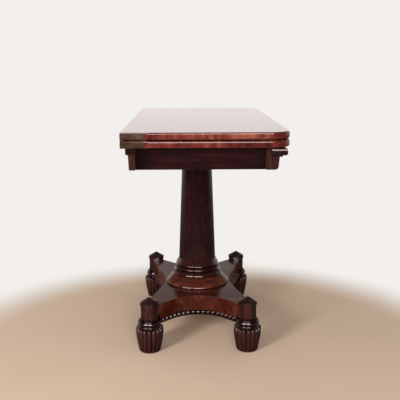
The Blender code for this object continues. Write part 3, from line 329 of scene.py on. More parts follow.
def polished_wood(
    name, tones, grain, band_mm=14, run_mm=170, wave_mm=70, wander_mm=12, contrast=0.7,
    rough=FINISHES["french_polished"], coat=0, layout=None, tone_stops=None, shift=0,
):
    """Hardwood under shellac that was rubbed to a gloss.

    The eye sees dark streaks and lighter figure under a clear, nearly flat film, short dark pores
    along the grain, soft smudges in the gloss, paler wood along the arrises and painted shade in the hollows.
    """
    found = bpy.data.materials.get(name)
    if found:
        return found
    settings = bpy.context.scene.games_table.wood
    material, tree, shader = new_material(name)
    place = add_node(tree, "ShaderNodeTexCoord")["Object"]
    laid = layout(tree, place) if layout else place
    laid = add_node(tree, "ShaderNodeVectorMath", {0: laid, 1: (shift, shift, shift)}, operation="ADD")[0]

    # The figure wanders by some millimetres, as in wood cut near a fork
    wave = add_node(tree, "ShaderNodeTexNoise", {"Vector": laid, "Scale": 1 / (wave_mm * MM), "Detail": 2})
    wander = [wander_mm * MM] * 3
    wavy = add_node(
        tree, "ShaderNodeVectorMath", {0: wave["Color"], 1: wander, 2: laid}, operation="MULTIPLY_ADD"
    )[0]
    # Each mark with its width and its length along the grain, in millimetres
    patterns = {}
    for mark, source, width, run, detail in (
        ("band", wavy, band_mm, run_mm, 4),
        ("line", wavy, 1.6, 90, 2),
        ("pore", laid, 0.7, 9, 1),
        ("smudge", place, 45, 45, 3),
    ):
        scaled = add_node(
            tree, "ShaderNodeMapping", {"Vector": source, "Scale": grain_scale(grain, width, run)}
        )[0]
        patterns[mark] = add_node(
            tree, "ShaderNodeTexNoise", {"Vector": scaled, "Scale": 1, "Detail": detail}
        )[0]

    tone = patterns["band"]
    if tone_stops:
        sheet = add_node(tree, "ShaderNodeSeparateXYZ", {0: place})["Y"]
        sheet = add_node(tree, "ShaderNodeMapRange", {0: sheet, 1: UPPER_LEAF[0].y, 2: UPPER_LEAF[1].y})[0]
        stops = [(position, (level, level, level)) for position, level in tone_stops]
        sheet = add_node(tree, "ShaderNodeValToRGB", {0: sheet}, stops)[0]
        tone = add_node(tree, "ShaderNodeMath", {0: tone, 1: sheet}, operation="ADD")[0]
        tone = add_node(tree, "ShaderNodeMath", {0: tone, 1: 0.5}, operation="SUBTRACT")[0]
    dark, ground, light = (getattr(settings, each) for each in tones)
    spread = 0.2 / contrast
    figure = add_node(
        tree, "ShaderNodeValToRGB", {0: tone}, [(0.5 - spread, dark), (0.5, ground), (0.5 + spread, light)]
    )[0]
    # Fine lines, pores and painted shade in the hollows darken the figure
    line = add_node(tree, "ShaderNodeMapRange", {0: patterns["line"], 1: 0.36, 2: 0.56, 3: 0.84, 4: 1})[0]
    pore = add_node(tree, "ShaderNodeMapRange", {0: patterns["pore"], 1: 0.34, 2: 0.42, 3: 0.55, 4: 1})[0]
    shade = add_node(tree, "ShaderNodeMath", {0: line, 1: pore}, operation="MULTIPLY")[0]
    # Painted shade: the colour falls to a fifth in the hollows of turned and carved work
    hollow_shade = add_node(tree, "ShaderNodeAttribute", attribute_name="hollow_shade")["Fac"]
    clean = add_node(tree, "ShaderNodeMapRange", {0: hollow_shade, 3: 1, 4: 0.2})[0]
    shade = add_node(tree, "ShaderNodeMath", {0: shade, 1: clean}, operation="MULTIPLY")[0]
    figure = add_node(
        tree, "ShaderNodeMix", {0: 1, 6: figure, 7: shade}, data_type="RGBA", blend_type="MULTIPLY"
    )[2]
    # Along the arrises the polish is rubbed away in patches
    wear = add_node(tree, "ShaderNodeAttribute", attribute_name="wear")["Fac"]
    rubbed = add_node(
        tree, "ShaderNodeMapRange", {0: patterns["smudge"], 1: 0.40, 2: 0.65, 3: 0, 4: 0.6}
    )[0]
    rubbed = add_node(tree, "ShaderNodeMath", {0: rubbed, 1: wear}, operation="MULTIPLY")[0]
    figure = add_node(
        tree, "ShaderNodeMix", {0: rubbed, 6: figure, 7: (*settings.worn, 1)}, data_type="RGBA"
    )[2]

    # Smudges dull the gloss and pores pit it
    dulled = add_node(
        tree, "ShaderNodeMapRange", {0: patterns["smudge"], 1: 0.30, 2: 0.70, 3: rough[0], 4: rough[1]}
    )[0]
    bump = add_node(tree, "ShaderNodeBump", {"Strength": 0.04, "Distance": 0.0002, "Height": pore})[0]
    wire(tree, shader, {"Base Color": figure, "Roughness": dulled, "Normal": bump})
    wire(tree, shader, {"IOR": 1.50, "Coat Weight": coat})
    return material


def rosewood(grain, finish="french_polished"):
    """Plain rosewood with its grain along one axis."""
    name = f"rosewood_{finish}_{grain.lower()}"
    return polished_wood(name, ROSEWOOD, grain, contrast=PLAIN_CONTRAST, rough=FINISHES[finish])


def red_rosewood(finish):
    """Redder rosewood of the collar, the posts and the feet's lobes."""
    name = f"red_rosewood_{finish}"
    return polished_wood(name, RED_ROSEWOOD, "Z", contrast=PLAIN_CONTRAST, rough=FINISHES[finish])


def planed_wood(name, ground, dark, ring_mm, fleck_mm):
    """Softwood or beech straight from the plane, never polished.

    The eye sees a pale dull surface with soft rings or short flecks and a little dust in the grain.
    """
    found = bpy.data.materials.get(name)
    if found:
        return found
    material, tree, shader = new_material(name)
    place = add_node(tree, "ShaderNodeTexCoord")["Object"]
    # Rings, flecks and patches of dust: width and length along the grain, in millimetres
    patterns = []
    for width, run, detail in ((ring_mm, 30 * ring_mm, 2), (fleck_mm, 6 * fleck_mm, 1), (120, 240, 2)):
        scaled = add_node(
            tree, "ShaderNodeMapping", {"Vector": place, "Scale": grain_scale("Y", width, run)}
        )[0]
        patterns.append(
            add_node(tree, "ShaderNodeTexNoise", {"Vector": scaled, "Scale": 1, "Detail": detail})[0]
        )
    rings, flecks, dirt = patterns
    tone = add_node(
        tree, "ShaderNodeValToRGB", {0: rings}, [(0.35, dark), (0.52, ground), (0.75, ground)]
    )[0]
    fleck_shade = add_node(tree, "ShaderNodeMapRange", {0: flecks, 1: 0.35, 2: 0.45, 3: 0.75, 4: 1})[0]
    dust = add_node(tree, "ShaderNodeMapRange", {0: dirt, 1: 0.3, 2: 0.7, 3: 0.7, 4: 1})[0]
    shade = add_node(tree, "ShaderNodeMath", {0: fleck_shade, 1: dust}, operation="MULTIPLY")[0]
    tone = add_node(
        tree, "ShaderNodeMix", {0: 1, 6: tone, 7: shade}, data_type="RGBA", blend_type="MULTIPLY"
    )[2]
    rough = add_node(tree, "ShaderNodeMapRange", {0: rings, 1: 0.3, 2: 0.7, 3: 0.75, 4: 0.6})[0]
    bump = add_node(tree, "ShaderNodeBump", {"Strength": 0.3, "Distance": 0.0003, "Height": rings})[0]
    wire(tree, shader, {"Base Color": tone, "Roughness": rough, "Normal": bump, "Specular IOR Level": 0.2})
    return material


def planed_beech():
    wood = bpy.context.scene.games_table.wood
    return planed_wood("beech_planed", wood.beech, wood.beech_dark, ring_mm=2.5, fleck_mm=1.2)


def old_metal(name, clean, dull, patch_mm, rough):
    """Cast or forged metal with years of tarnish.

    The eye sees a brown or black skin that is clean and brighter on the arrises and where it is
    handled, over fine file marks.
    """
    found = bpy.data.materials.get(name)
    if found:
        return found
    material, tree, shader = new_material(name)
    place = add_node(tree, "ShaderNodeTexCoord")["Object"]
    patch = add_node(
        tree, "ShaderNodeTexNoise", {"Vector": place, "Scale": 1 / (patch_mm * MM), "Detail": 5}
    )[0]
    # File marks lie about 0.3 mm apart
    marks = add_node(tree, "ShaderNodeMapping", {"Vector": place, "Scale": grain_scale("Y", 0.3, 6)})[0]
    marks = add_node(tree, "ShaderNodeTexNoise", {"Vector": marks, "Scale": 1, "Detail": 1})[0]
    wear = add_node(tree, "ShaderNodeAttribute", attribute_name="wear")["Fac"]
    bare = add_node(tree, "ShaderNodeMapRange", {0: patch, 1: 0.42, 2: 0.70})[0]
    bare = add_node(tree, "ShaderNodeMath", {0: bare, 1: wear}, operation="MAXIMUM")[0]
    tone = add_node(tree, "ShaderNodeMix", {0: bare, 6: (*dull, 1), 7: (*clean, 1)}, data_type="RGBA")[2]
    worn = add_node(tree, "ShaderNodeMapRange", {0: bare, 1: 0, 2: 1, 3: rough[0], 4: rough[1]})[0]
    bump = add_node(tree, "ShaderNodeBump", {"Strength": 0.2, "Distance": 0.0001, "Height": marks})[0]
    wire(tree, shader, {"Base Color": tone, "Roughness": worn, "Normal": bump, "Metallic": 1})
    return material


def tarnished_brass():
    metal = bpy.context.scene.games_table.metal
    return old_metal("brass_cast_tarnished", metal.brass, metal.tarnish, patch_mm=26, rough=(0.52, 0.42))


def blackened_iron():
    metal = bpy.context.scene.games_table.metal
    return old_metal("iron_forged_blackened", metal.iron, metal.rust, patch_mm=14, rough=(0.62, 0.48))


def woollen_baize():
    """Woven wool that was fulled and napped.

    The eye sees no weave, only a soft matt green with paler fibres that stand up, and a faint bloom
    at a low angle. Fibres are about 0.03 mm thick and are drawn as tufts of 0.8 mm so that they show.
    """
    cloth = bpy.context.scene.games_table.cloth
    material, tree, shader = new_material("baize_napped_wool")
    place = add_node(tree, "ShaderNodeTexCoord")["Object"]
    tuft = add_node(tree, "ShaderNodeTexNoise", {"Vector": place, "Scale": 1 / (0.8 * MM), "Detail": 3})[0]
    worn = add_node(tree, "ShaderNodeTexNoise", {"Vector": place, "Scale": 1 / (90 * MM), "Detail": 3})[0]
    nap = add_node(tree, "ShaderNodeMapRange", {0: tuft, 1: 0.4, 2: 0.75})[0]
    tone = add_node(
        tree, "ShaderNodeMix", {0: nap, 6: (*cloth.baize, 1), 7: (*cloth.nap, 1)}, data_type="RGBA"
    )[2]
    faded = add_node(tree, "ShaderNodeMapRange", {0: worn, 1: 0.3, 2: 0.7, 3: 0.8, 4: 1.1})[0]
    tone = add_node(
        tree, "ShaderNodeMix", {0: 1, 6: tone, 7: faded}, data_type="RGBA", blend_type="MULTIPLY"
    )[2]
    bump = add_node(tree, "ShaderNodeBump", {"Strength": 0.6, "Distance": 0.0004, "Height": tuft})[0]
    wire(tree, shader, {"Base Color": tone, "Normal": bump, "Roughness": 0.95, "Specular IOR Level": 0.05})
    wire(tree, shader, {"Sheen Weight": 0.12, "Sheen Roughness": 0.5})
    return material


# Meshes


def node_work(node):
    """A copy of a solid's mesh to work on, welded, with its flat faces whole."""
    work = bmesh.new()
    work.from_mesh(frame["nodes"][node].data)
    bmesh.ops.remove_doubles(work, verts=work.verts, dist=WELD)
    bmesh.ops.dissolve_limit(work, angle_limit=FLAT_ANGLE, verts=work.verts, edges=work.edges)
    return work


def ease(work, width, chosen=None):
    """Rounds the sharp edges and marks the middle of each rounding as worn."""
    sharp = [e for e in work.edges if e.is_manifold and e.calc_face_angle() > SMOOTH_ANGLE]
    if chosen:
        sharp = [e for e in sharp if chosen(e)]
    made = bmesh.ops.bevel(
        work, geom=sharp, offset=width, offset_type="OFFSET", segments=3, profile=0.5, affect="EDGES",
        clamp_overlap=True,
    )
    rounded = set(made["faces"])
    wear = work.verts.layers.float.new("wear")
    for vert in work.verts:
        vert[wear] = 1 if all(face in rounded for face in vert.link_faces) else 0


def mark_hollow_shade(work, spread=0):
    """Marks the hollows of turned and carved work, where the wood is darkened as painted shade."""
    bmesh.ops.recalc_face_normals(work, faces=work.faces)
    work.normal_update()
    hollow_shade = work.verts.layers.float.new("hollow_shade")
    for vert in work.verts:
        rises = [vert.normal.dot((e.other_vert(vert).co - vert.co).normalized()) for e in vert.link_edges]
        vert[hollow_shade] = min(max(sum(rises) / len(rises) / FULL_HOLLOW, 0), 1)
    for _ in range(spread):
        near = {v: max(e.other_vert(v)[hollow_shade] for e in v.link_edges) for v in work.verts}
        for vert, level in near.items():
            vert[hollow_shade] = max(vert[hollow_shade], THINNED * level)


def mesh_from(name, work):
    bmesh.ops.recalc_face_normals(work, faces=work.faces)
    mesh = bpy.data.meshes.new(name)
    work.to_mesh(mesh)
    work.free()
    mesh.shade_smooth()
    mesh.set_sharp_from_angle(angle=SMOOTH_ANGLE)
    return mesh


def add_piece(name, mesh, body, slot, *materials):
    """A new piece that moves with a body."""
    piece = bpy.data.objects.new(name, mesh)
    bpy.context.scene.collection.objects.link(piece)
    for material in materials:
        mesh.materials.append(material)
    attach(piece, body)
    return piece


def dress(node, work, *materials, flats=True):
    """A finished piece that stands for a solid, on the solid's body."""
    name = f"finished_{node}"
    piece = add_piece(name, mesh_from(name, work), frame["nodes"][node]["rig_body"], SLOTS[node], *materials)
    if flats:
        even = piece.modifiers.new("flat_faces", "WEIGHTED_NORMAL")
        even.keep_sharp = True
    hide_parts(node)
    return piece


def dress_solids(nodes, width, *materials):
    for node in nodes:
        work = node_work(node)
        ease(work, width)
        dress(node, work, *materials)


def turned(points, closed=False):
    """A body turned on the column's axis from a profile of radii and heights."""
    work = bmesh.new()
    verts = [work.verts.new((AXIS.x + r, AXIS.y, z)) for r, z in points]
    pairs = list(zip(verts, verts[1:]))
    if closed:
        pairs.append((verts[-1], verts[0]))
    edges = [work.edges.new(pair) for pair in pairs]
    bmesh.ops.spin(
        work, geom=verts + edges, cent=AXIS, axis=(0, 0, 1), angle=math.tau, steps=TURNED_STEPS,
        use_merge=True,
    )
    bmesh.ops.remove_doubles(work, verts=work.verts, dist=WELD)
    return work


def add_skin(work, rings):
    """Adds a skin over rings of equal length, closed at both ends."""
    rows = [[work.verts.new(point) for point in ring] for ring in rings]
    count = len(rows[0])
    for row, following in zip(rows, rows[1:]):
        for i in range(count):
            j = (i + 1) % count
            work.faces.new((row[i], row[j], following[j], following[i]))
    work.faces.new(reversed(rows[0]))
    work.faces.new(rows[-1])


def loft(rings):
    """A body under one skin."""
    work = bmesh.new()
    add_skin(work, rings)
    return work


def arc(centre, radius, start, end, steps):
    """Points on a circle from angle start to end, in degrees."""
    angles = [math.radians(start + (end - start) * i / steps) for i in range(steps + 1)]
    return [(centre[0] + radius * math.cos(a), centre[1] + radius * math.sin(a)) for a in angles]


def smooth_line(points, steps):
    """A smooth line through points of any size, with steps between neighbours."""
    line = []
    for i in range(len(points) - 1):
        a, b, c, d = (Vector(points[min(max(k, 0), len(points) - 1)]) for k in range(i - 1, i + 3))
        for step in range(steps):
            t = step / steps
            slope, bend, twist = c - a, a * 2 - b * 5 + c * 4 - d, b * 3 - a - c * 3 + d
            line.append(b + slope * t / 2 + bend * t * t / 2 + twist * t ** 3 / 2)
    line.append(Vector(points[-1]))
    return line


def ring_profile(neck, radius, nose, top, bottom):
    """The outer side of a turned ring: a straight slope from its neck that runs into a round nose."""
    centre = (radius - nose, bottom + nose)
    to_neck = Vector((neck - centre[0], top - centre[1]))
    start = math.atan2(to_neck.y, to_neck.x) - math.acos(nose / to_neck.length)
    return [(neck, top)] + arc(centre, nose, math.degrees(start), -90, ARC_STEPS)


def front_corner(node):
    """Radius of a solid's two front corners, from the straight length of its front edge."""
    low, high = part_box(node)
    return high.x - max(v.co.x for v in frame["nodes"][node].data.vertices if v.co.y < low.y + WELD)


def slotted_screws(name, heads, outward, body, slot, material):
    """Flat screw heads, each with a slot, that look along outward."""
    radius = bpy.context.scene.games_table.shape.screw_radius
    slot_half = radius * SCREW_SLOT
    rise = radius * SCREW_RISE
    lean = math.degrees(math.asin(slot_half / radius))
    turn = Vector(outward).to_track_quat("Z", "Y").to_matrix().to_4x4()
    first, following = SCREW_TURNS
    work = bmesh.new()
    for number, centre in enumerate(heads):
        spin = Matrix.Rotation(math.radians(first + following * number), 4, "Z")
        place = Matrix.Translation(centre) @ turn @ spin
        for start in (lean, 180 + lean):
            rim = arc((0, 0), radius, start, start + 180 - 2 * lean, ARC_STEPS)
            gap = slot_half * (1 - SCREW_CROWN)
            crown = [(x * SCREW_CROWN, y * SCREW_CROWN + math.copysign(gap, y)) for x, y in rim]
            levels = ((rim, 0), (rim, rise * SCREW_SHOULDER), (crown, rise))
            add_skin(work, [[place @ Vector((x, y, z)) for x, y in line] for line, z in levels])
    return add_piece(name, mesh_from(name, work), body, slot, material)


# Pieces


class GAMESTABLE_OT_leaves(bpy.types.Operator):
    """Veneer the two folding leaves: figured faces, upright crossbanding on the edges"""

    bl_idname = "games_table.leaves"
    bl_label = "Leaves"

    # Tone of the sheets of veneer from the front edge to the hinges, where 0.5 is the ground
    EDGE_TONES = {
        "upper_leaf": (
            (0, 0.34), (0.11, 0.38), (0.14, 0.50), (0.20, 0.48), (0.23, 0.68), (0.36, 0.64), (0.40, 0.50),
            (0.75, 0.54), (0.78, 0.36), (0.85, 0.40), (0.87, 0.10), (1, 0.10),
        ),
        "lower_leaf": (
            (0, 0.34), (0.11, 0.36), (0.14, 0.26), (0.36, 0.26), (0.39, 0.50), (0.50, 0.44), (0.70, 0.36),
            (0.80, 0.50), (0.85, 0.48), (0.87, 0.10), (1, 0.10),
        ),
    }
    WIDEST_ARRIS = 0.0026     # of the solids
    BEYOND_PLATES = (0.002, 0.012)   # where the rounder arris begins and is full, before the hinge plates
    FACE_SLOPE = 0.7          # least upright part of a face's normal that isn't an edge
    SHEET_SHIFT = 0.31        # takes each leaf's edge from another part of the veneer

    def execute(self, context):
        face = polished_wood(
            "figured_veneer_french_polished_x", FLAME, "X", band_mm=22, run_mm=260, wave_mm=140, wander_mm=40,
            rough=(0.04, 0.09), coat=1,
        )
        border = polished_wood(
            "crossbanding_french_polished", FLAME, "Y", band_mm=9, run_mm=120, layout=border_place
        )
        for node, playing_side in (("upper_leaf", -1), ("lower_leaf", 1)):
            edge = polished_wood(
                f"edge_crossbanding_{node}", EDGE, "Z", band_mm=16, run_mm=40, wave_mm=30, wander_mm=8,
                contrast=0.6, layout=edge_place, tone_stops=self.EDGE_TONES[node],
                shift=playing_side * self.SHEET_SHIFT,
            )
            work = node_work(node)
            self.round_arrises(work, node, context.scene.games_table.shape.leaf_arris)
            for polygon in work.faces:
                facing = polygon.normal.z * playing_side
                polygon.material_index = 0 if abs(facing) < self.FACE_SLOPE else 1 if facing < 0 else 2
            dress(node, work, edge, face, border)
        return {"FINISHED"}

    def round_arrises(self, work, node, radius):
        """Widens the small arrises before the hinge plates to the radius that years of use have left."""
        low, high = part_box(node)
        start, full = (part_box("upper_hinge_plate_left")[0].y - beyond for beyond in self.BEYOND_PLATES)
        for y in (start, full):
            geometry = work.verts[:] + work.edges[:] + work.faces[:]
            bmesh.ops.bisect_plane(work, geom=geometry, plane_co=(0, y, 0), plane_no=(0, 1, 0))
        corner = front_corner(node)
        widest = self.WIDEST_ARRIS
        for vert in work.verts:
            inset, outward = self.from_outline(vert.co, low, high, corner)
            depth = min(vert.co.z - low.z, high.z - vert.co.z)
            if vert.co.y > start or inset > widest or depth > widest:
                continue
            grow = (radius / widest - 1) * min(1, (start - vert.co.y) / (start - full))
            up = 1 if vert.co.z > (low.z + high.z) / 2 else -1
            vert.co -= outward * inset * grow
            vert.co.z -= up * depth * grow

    def from_outline(self, point, low, high, corner):
        """How far a point lies inside the leaf's outline, and which way is out."""
        side = math.copysign(1, point.x)
        centre = Vector((side * (high.x - corner), low.y + corner, point.z))
        towards = point - centre
        if towards.x * side > 0 and towards.y < 0:
            return corner - towards.length, towards.normalized()
        if towards.x * side > 0:
            return high.x - abs(point.x), Vector((side, 0, 0))
        return point.y - low.y, Vector((0, -1, 0))


class GAMESTABLE_OT_baize(bpy.types.Operator):
    """Lay napped wool in the recesses of both leaves"""

    bl_idname = "games_table.baize"
    bl_label = "Baize"

    LONGEST_EDGE = 0.036      # between points of the cloth
    CUT_EDGE = 0.0008         # rounding of the cut edge
    HALF_ROUND = 0.3          # share of the rounding at its middle
    RIPPLES = (41, 53, 17)    # radians per metre along, across and aslant

    def execute(self, context):
        cloth = context.scene.games_table.cloth
        wool = woollen_baize()
        for node, leaf, side in (("upper_baize", "upper_leaf", -1), ("lower_baize", "lower_leaf", 1)):
            low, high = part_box(node)
            surface = low.z if side < 0 else high.z
            corner = front_corner(node)
            edge = self.outline(low, high, corner)
            rings = []
            for inset, depth in self.section(cloth.thickness):
                rings.append([(x, y, surface - side * depth) for x, y in self.inset(edge, inset)])
            work = loft(rings)
            bmesh.ops.triangulate(work, faces=[f for f in work.faces if len(f.verts) > 4])
            self.divide(work)
            along, across, aslant = self.RIPPLES
            for vert in work.verts:
                x, y, z = vert.co
                if abs(z - surface) < cloth.thickness / 4:
                    ripple = math.sin(x * along) * math.sin(y * across + x * aslant)
                    vert.co.z -= side * cloth.swell * (0.5 + 0.5 * ripple)
            piece = dress(node, work, wool, flats=False)
        return {"FINISHED"}

    def outline(self, low, high, radius):
        points = [(high.x, high.y), (low.x, high.y)]
        points += arc((low.x + radius, low.y + radius), radius, 180, 270, ARC_STEPS)
        points += arc((high.x - radius, low.y + radius), radius, 270, 360, ARC_STEPS)
        return points

    def inset(self, points, distance):
        """The outline drawn in towards its middle."""
        middle_x = sum(p[0] for p in points) / len(points)
        middle_y = sum(p[1] for p in points) / len(points)
        return [
            (x - math.copysign(distance, x - middle_x), y - math.copysign(distance, y - middle_y))
            for x, y in points
        ]

    def section(self, thickness):
        """Inset and depth from the underside round the cut edge to the napped face."""
        edge = min(self.CUT_EDGE, thickness / 2)
        middle = edge * self.HALF_ROUND
        return [(0, thickness), (0, edge), (middle, middle), (edge, 0)]

    def divide(self, work):
        """Points all over the cloth, for its swell."""
        while True:
            long_edges = [e for e in work.edges if e.calc_length() > self.LONGEST_EDGE]
            if not long_edges:
                break
            bmesh.ops.subdivide_edges(work, edges=long_edges, cuts=1)
            bmesh.ops.triangulate(work, faces=[f for f in work.faces if len(f.verts) > 4])


class GAMESTABLE_OT_hinges(bpy.types.Operator):
    """Fit the brass link hinges at both ends of the top, with slotted screws"""

    bl_idname = "games_table.hinges"
    bl_label = "Link hinges"

    SCREW_PLACES = (0.30, 0.58, 0.86)   # shares of the plate's length from the hinge pin

    def execute(self, context):
        shape = context.scene.games_table.shape
        brass = tarnished_brass()
        for end, side in ENDS.items():
            dress_solids([f"hinge_link_{end}"], shape.fine_arris, brass)
            for level in ("lower", "upper"):
                plate = f"{level}_hinge_plate_{end}"
                dress_solids([plate, f"{level}_hinge_pin_{end}"], shape.fine_arris / 2, brass)
                low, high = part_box(plate)
                face_x = high.x if side > 0 else low.x
                middle_z = (low.z + high.z) / 2
                heads = [(face_x, high.y + (low.y - high.y) * part, middle_z) for part in self.SCREW_PLACES]
                body = frame["nodes"][plate]["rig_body"]
                slotted_screws(f"{level}_hinge_screws_{end}", heads, (side, 0, 0), body, "brass", brass)
        return {"FINISHED"}


class GAMESTABLE_OT_swivel(bpy.types.Operator):
    """Finish the swivel under the top: forged plate, bolt, washer and nut, and the stop peg"""

    bl_idname = "games_table.swivel"
    bl_label = "Swivel"

    SCREW_INSET = 0.010

    def execute(self, context):
        arris = context.scene.games_table.shape.fine_arris
        iron = blackened_iron()
        dress_solids(["pivot_plate", "pivot_bolt", "pivot_washer", "pivot_nut"], arris, iron)
        dress_solids(["stop_peg"], arris, planed_beech())
        low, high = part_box("pivot_plate")
        inner = (low.x + self.SCREW_INSET, high.x - self.SCREW_INSET)
        heads = [(x, y, low.z) for x in inner for y in (low.y + self.SCREW_INSET, high.y - self.SCREW_INSET)]
        slotted_screws("pivot_plate_screws", heads, (0, 0, -1), "lower_top", "iron", iron)
        return {"FINISHED"}


class GAMESTABLE_OT_frieze(bpy.types.Operator):
    """Polish the boards and rails of the frieze"""

    bl_idname = "games_table.frieze"
    bl_label = "Frieze"

    # Painted shade: the end rails darken beside the boards, in the recesses between them
    RAIL_SHADE_TONES = (
        (0, 0.2), (0.15, 0.2), (0.20, 0.40), (0.40, 0.52), (0.60, 0.42), (0.80, 0.42), (0.88, 0.10), (1, 0.1),
    )

    def execute(self, context):
        arris = context.scene.games_table.shape.arris
        end_grain = polished_wood(
            "rosewood_end_grain_french_polished", ("rosewood", "end_grain", "worn"), "Z", contrast=0.4
        )
        for node in ("front_board", "back_board"):
            work = node_work(node)
            ease(work, arris)
            for polygon in work.faces:
                polygon.material_index = 1 if abs(polygon.normal.x) > FACING else 0
            dress(node, work, rosewood("X"), end_grain)
        # The end rails' veneer, with painted shade beside the boards
        rail = polished_wood(
            "rail_veneer_french_polished", ROSEWOOD, "Y", contrast=PLAIN_CONTRAST, tone_stops=self.RAIL_SHADE_TONES
        )
        dress_solids(["end_rail_left", "end_rail_right"], arris, rail)
        return {"FINISHED"}


class GAMESTABLE_OT_carcase(bpy.types.Operator):
    """Plane the hidden bearer, rail, well floors, glue blocks and underboard"""

    bl_idname = "games_table.carcase"
    bl_label = "Carcase"

    def execute(self, context):
        settings = context.scene.games_table
        wood = settings.wood
        pine = planed_wood("pine_planed", wood.pine, wood.pine_dark, ring_mm=4, fleck_mm=1.0)
        blocks = [f"corner_block_{corner}" for corner in CORNERS]
        floors = [f"well_floor_{end}" for end in ENDS]
        dress_solids(blocks + floors + ["underboard"], settings.shape.fine_arris, pine)
        dress_solids(["column_bearer", "pivot_rail"], settings.shape.fine_arris, planed_beech())
        return {"FINISHED"}


class GAMESTABLE_OT_mouldings(bpy.types.Operator):
    """Run the rolled moulding along the front and the flat lip along the back"""

    bl_idname = "games_table.mouldings"
    bl_label = "Frieze mouldings"

    SQUARENESS = 3.5          # 2 is a half-round, more is flatter in front
    ROLL_STEPS = 32

    def execute(self, context):
        shape = context.scene.games_table.shape
        buffed = [rosewood(axis, "buffed") for axis in "XY"]
        low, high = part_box("roll_moulding")
        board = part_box("front_board")
        end_x = board[1].x + FIT
        face_y = board[0].y - FIT
        projection = high.x - end_x
        radius = shape.roll_height / 2
        fillet_top = high.z - shape.roll_height
        section = [(0, high.z)]
        for i in range(self.ROLL_STEPS + 1):
            angle = math.pi * i / self.ROLL_STEPS
            parts = (math.sin(angle), math.cos(angle))
            x, z = (math.copysign(abs(part) ** (2 / self.SQUARENESS), part) for part in parts)
            section.append((projection + radius * (x - 1), high.z + radius * (z - 1)))
        section += [(shape.roll_fillet, fillet_top), (shape.roll_fillet, low.z), (0, low.z)]
        # Each corner of the path, and how it moves for each millimetre of projection
        path = (
            (-end_x, high.y, -1, 0), (-end_x, face_y, -1, -1), (end_x, face_y, 1, -1), (end_x, high.y, 1, 0),
        )
        rings = [[(x + dx * out, y + dy * out, up) for out, up in section] for x, y, dx, dy in path]
        work = loft(rings)
        ease(work, shape.fine_arris, lambda edge: all(v.co.y > high.y - WELD for v in edge.verts))
        for polygon in work.faces:
            polygon.material_index = 1 if abs(polygon.calc_center_median().x) > end_x - FIT else 0
        dress("roll_moulding", work, *buffed)
        dress_solids(["back_lip"], shape.fine_arris, rosewood("X"))
        return {"FINISHED"}


class GAMESTABLE_OT_column(bpy.types.Operator):
    """Turn the column with its tenons, the ringed collar and the domed base"""

    bl_idname = "games_table.column"
    bl_label = "Column"

    def execute(self, context):
        shape = context.scene.games_table.shape
        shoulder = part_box("column_bearer")[0].z - FIT
        foot = COLLAR[1].z + FIT
        foot_radius = (COLUMN[1].x - COLUMN[0].x) / 2
        tenon = shape.top_tenon
        foot_tenon = shape.foot_tenon
        ease_z = shape.arris
        points = [
            (0, COLUMN[1].z),
            (tenon, COLUMN[1].z),
            (tenon, shoulder),
            (shape.column_top_radius - ease_z, shoulder),
            (shape.column_top_radius, shoulder - ease_z),
            (foot_radius, foot + ease_z),
            (foot_radius - ease_z, foot),
            (foot_tenon, foot),
            (foot_tenon, COLUMN[0].z),
            (0, COLUMN[0].z),
        ]
        crotch = polished_wood(
            "crotch_veneer_french_polished", ROSEWOOD, "Z", band_mm=16, run_mm=80, wave_mm=70, wander_mm=60,
            contrast=0.42,
        )
        dress("column", turned(points), crotch, flats=False)

        bore = foot_tenon + FIT
        top = COLLAR[1].z
        upper_bottom = top - shape.upper_ring_height
        middle_bottom = upper_bottom - shape.middle_ring_height
        lower_radius = (COLLAR[1].x - COLLAR[0].x) / 2
        points = [(bore, top)]
        points += ring_profile(foot_radius, shape.upper_ring_radius, shape.ring_nose, top, upper_bottom)
        points += ring_profile(
            shape.middle_ring_neck, shape.middle_ring_radius, shape.ring_nose, upper_bottom, middle_bottom
        )
        points += ring_profile(
            shape.lower_ring_neck, lower_radius, shape.lower_ring_nose, middle_bottom, COLLAR[0].z
        )
        points += [(bore, COLLAR[0].z)]
        collar = red_rosewood("french_polished")
        work = turned(points, closed=True)
        # Painted shade in the hollows between the rings
        mark_hollow_shade(work)
        dress("column_collar", work, collar, flats=False)

        dome_radius = (DOME[1].x - DOME[0].x) / 2
        points = [(bore, DOME[1].z)]
        points += ring_profile(shape.dome_top_radius, dome_radius, shape.dome_nose, DOME[1].z, DOME[0].z)
        points += [(bore, DOME[0].z)]
        flame = polished_wood(
            "dome_veneer_french_polished", ("flame_dark", "dome", "flame_light"), "Y", shift=0.17
        )
        dress("column_base", turned(points, closed=True), flame, flats=False)
        return {"FINISHED"}


class GAMESTABLE_OT_platform(bpy.types.Operator):
    """Veneer the hollow-sided platform with upright flame figure"""

    bl_idname = "games_table.platform"
    bl_label = "Platform"

    def execute(self, context):
        flame = polished_wood(
            "flame_veneer_french_polished", FLAME, "Z", band_mm=20, run_mm=60, wave_mm=60, wander_mm=60,
            contrast=0.5,
        )
        top = polished_wood(
            "platform_top_waxed", ("flame_dark", "platform_top", "flame_light"), "Y", band_mm=30, run_mm=200,
            wave_mm=120, wander_mm=30, rough=(0.14, 0.24),
        )
        work = node_work("platform")
        high = PLATFORM[1].z
        low = PLATFORM[0].z
        ease(
            work,
            context.scene.games_table.shape.arris,
            lambda edge: any(all(abs(v.co.z - z) < WELD for v in edge.verts) for z in (low, high)),
        )
        for polygon in work.faces:
            polygon.material_index = 1 if polygon.normal.z > FACING else 0
        dress("platform", work, flame, top)
        return {"FINISHED"}


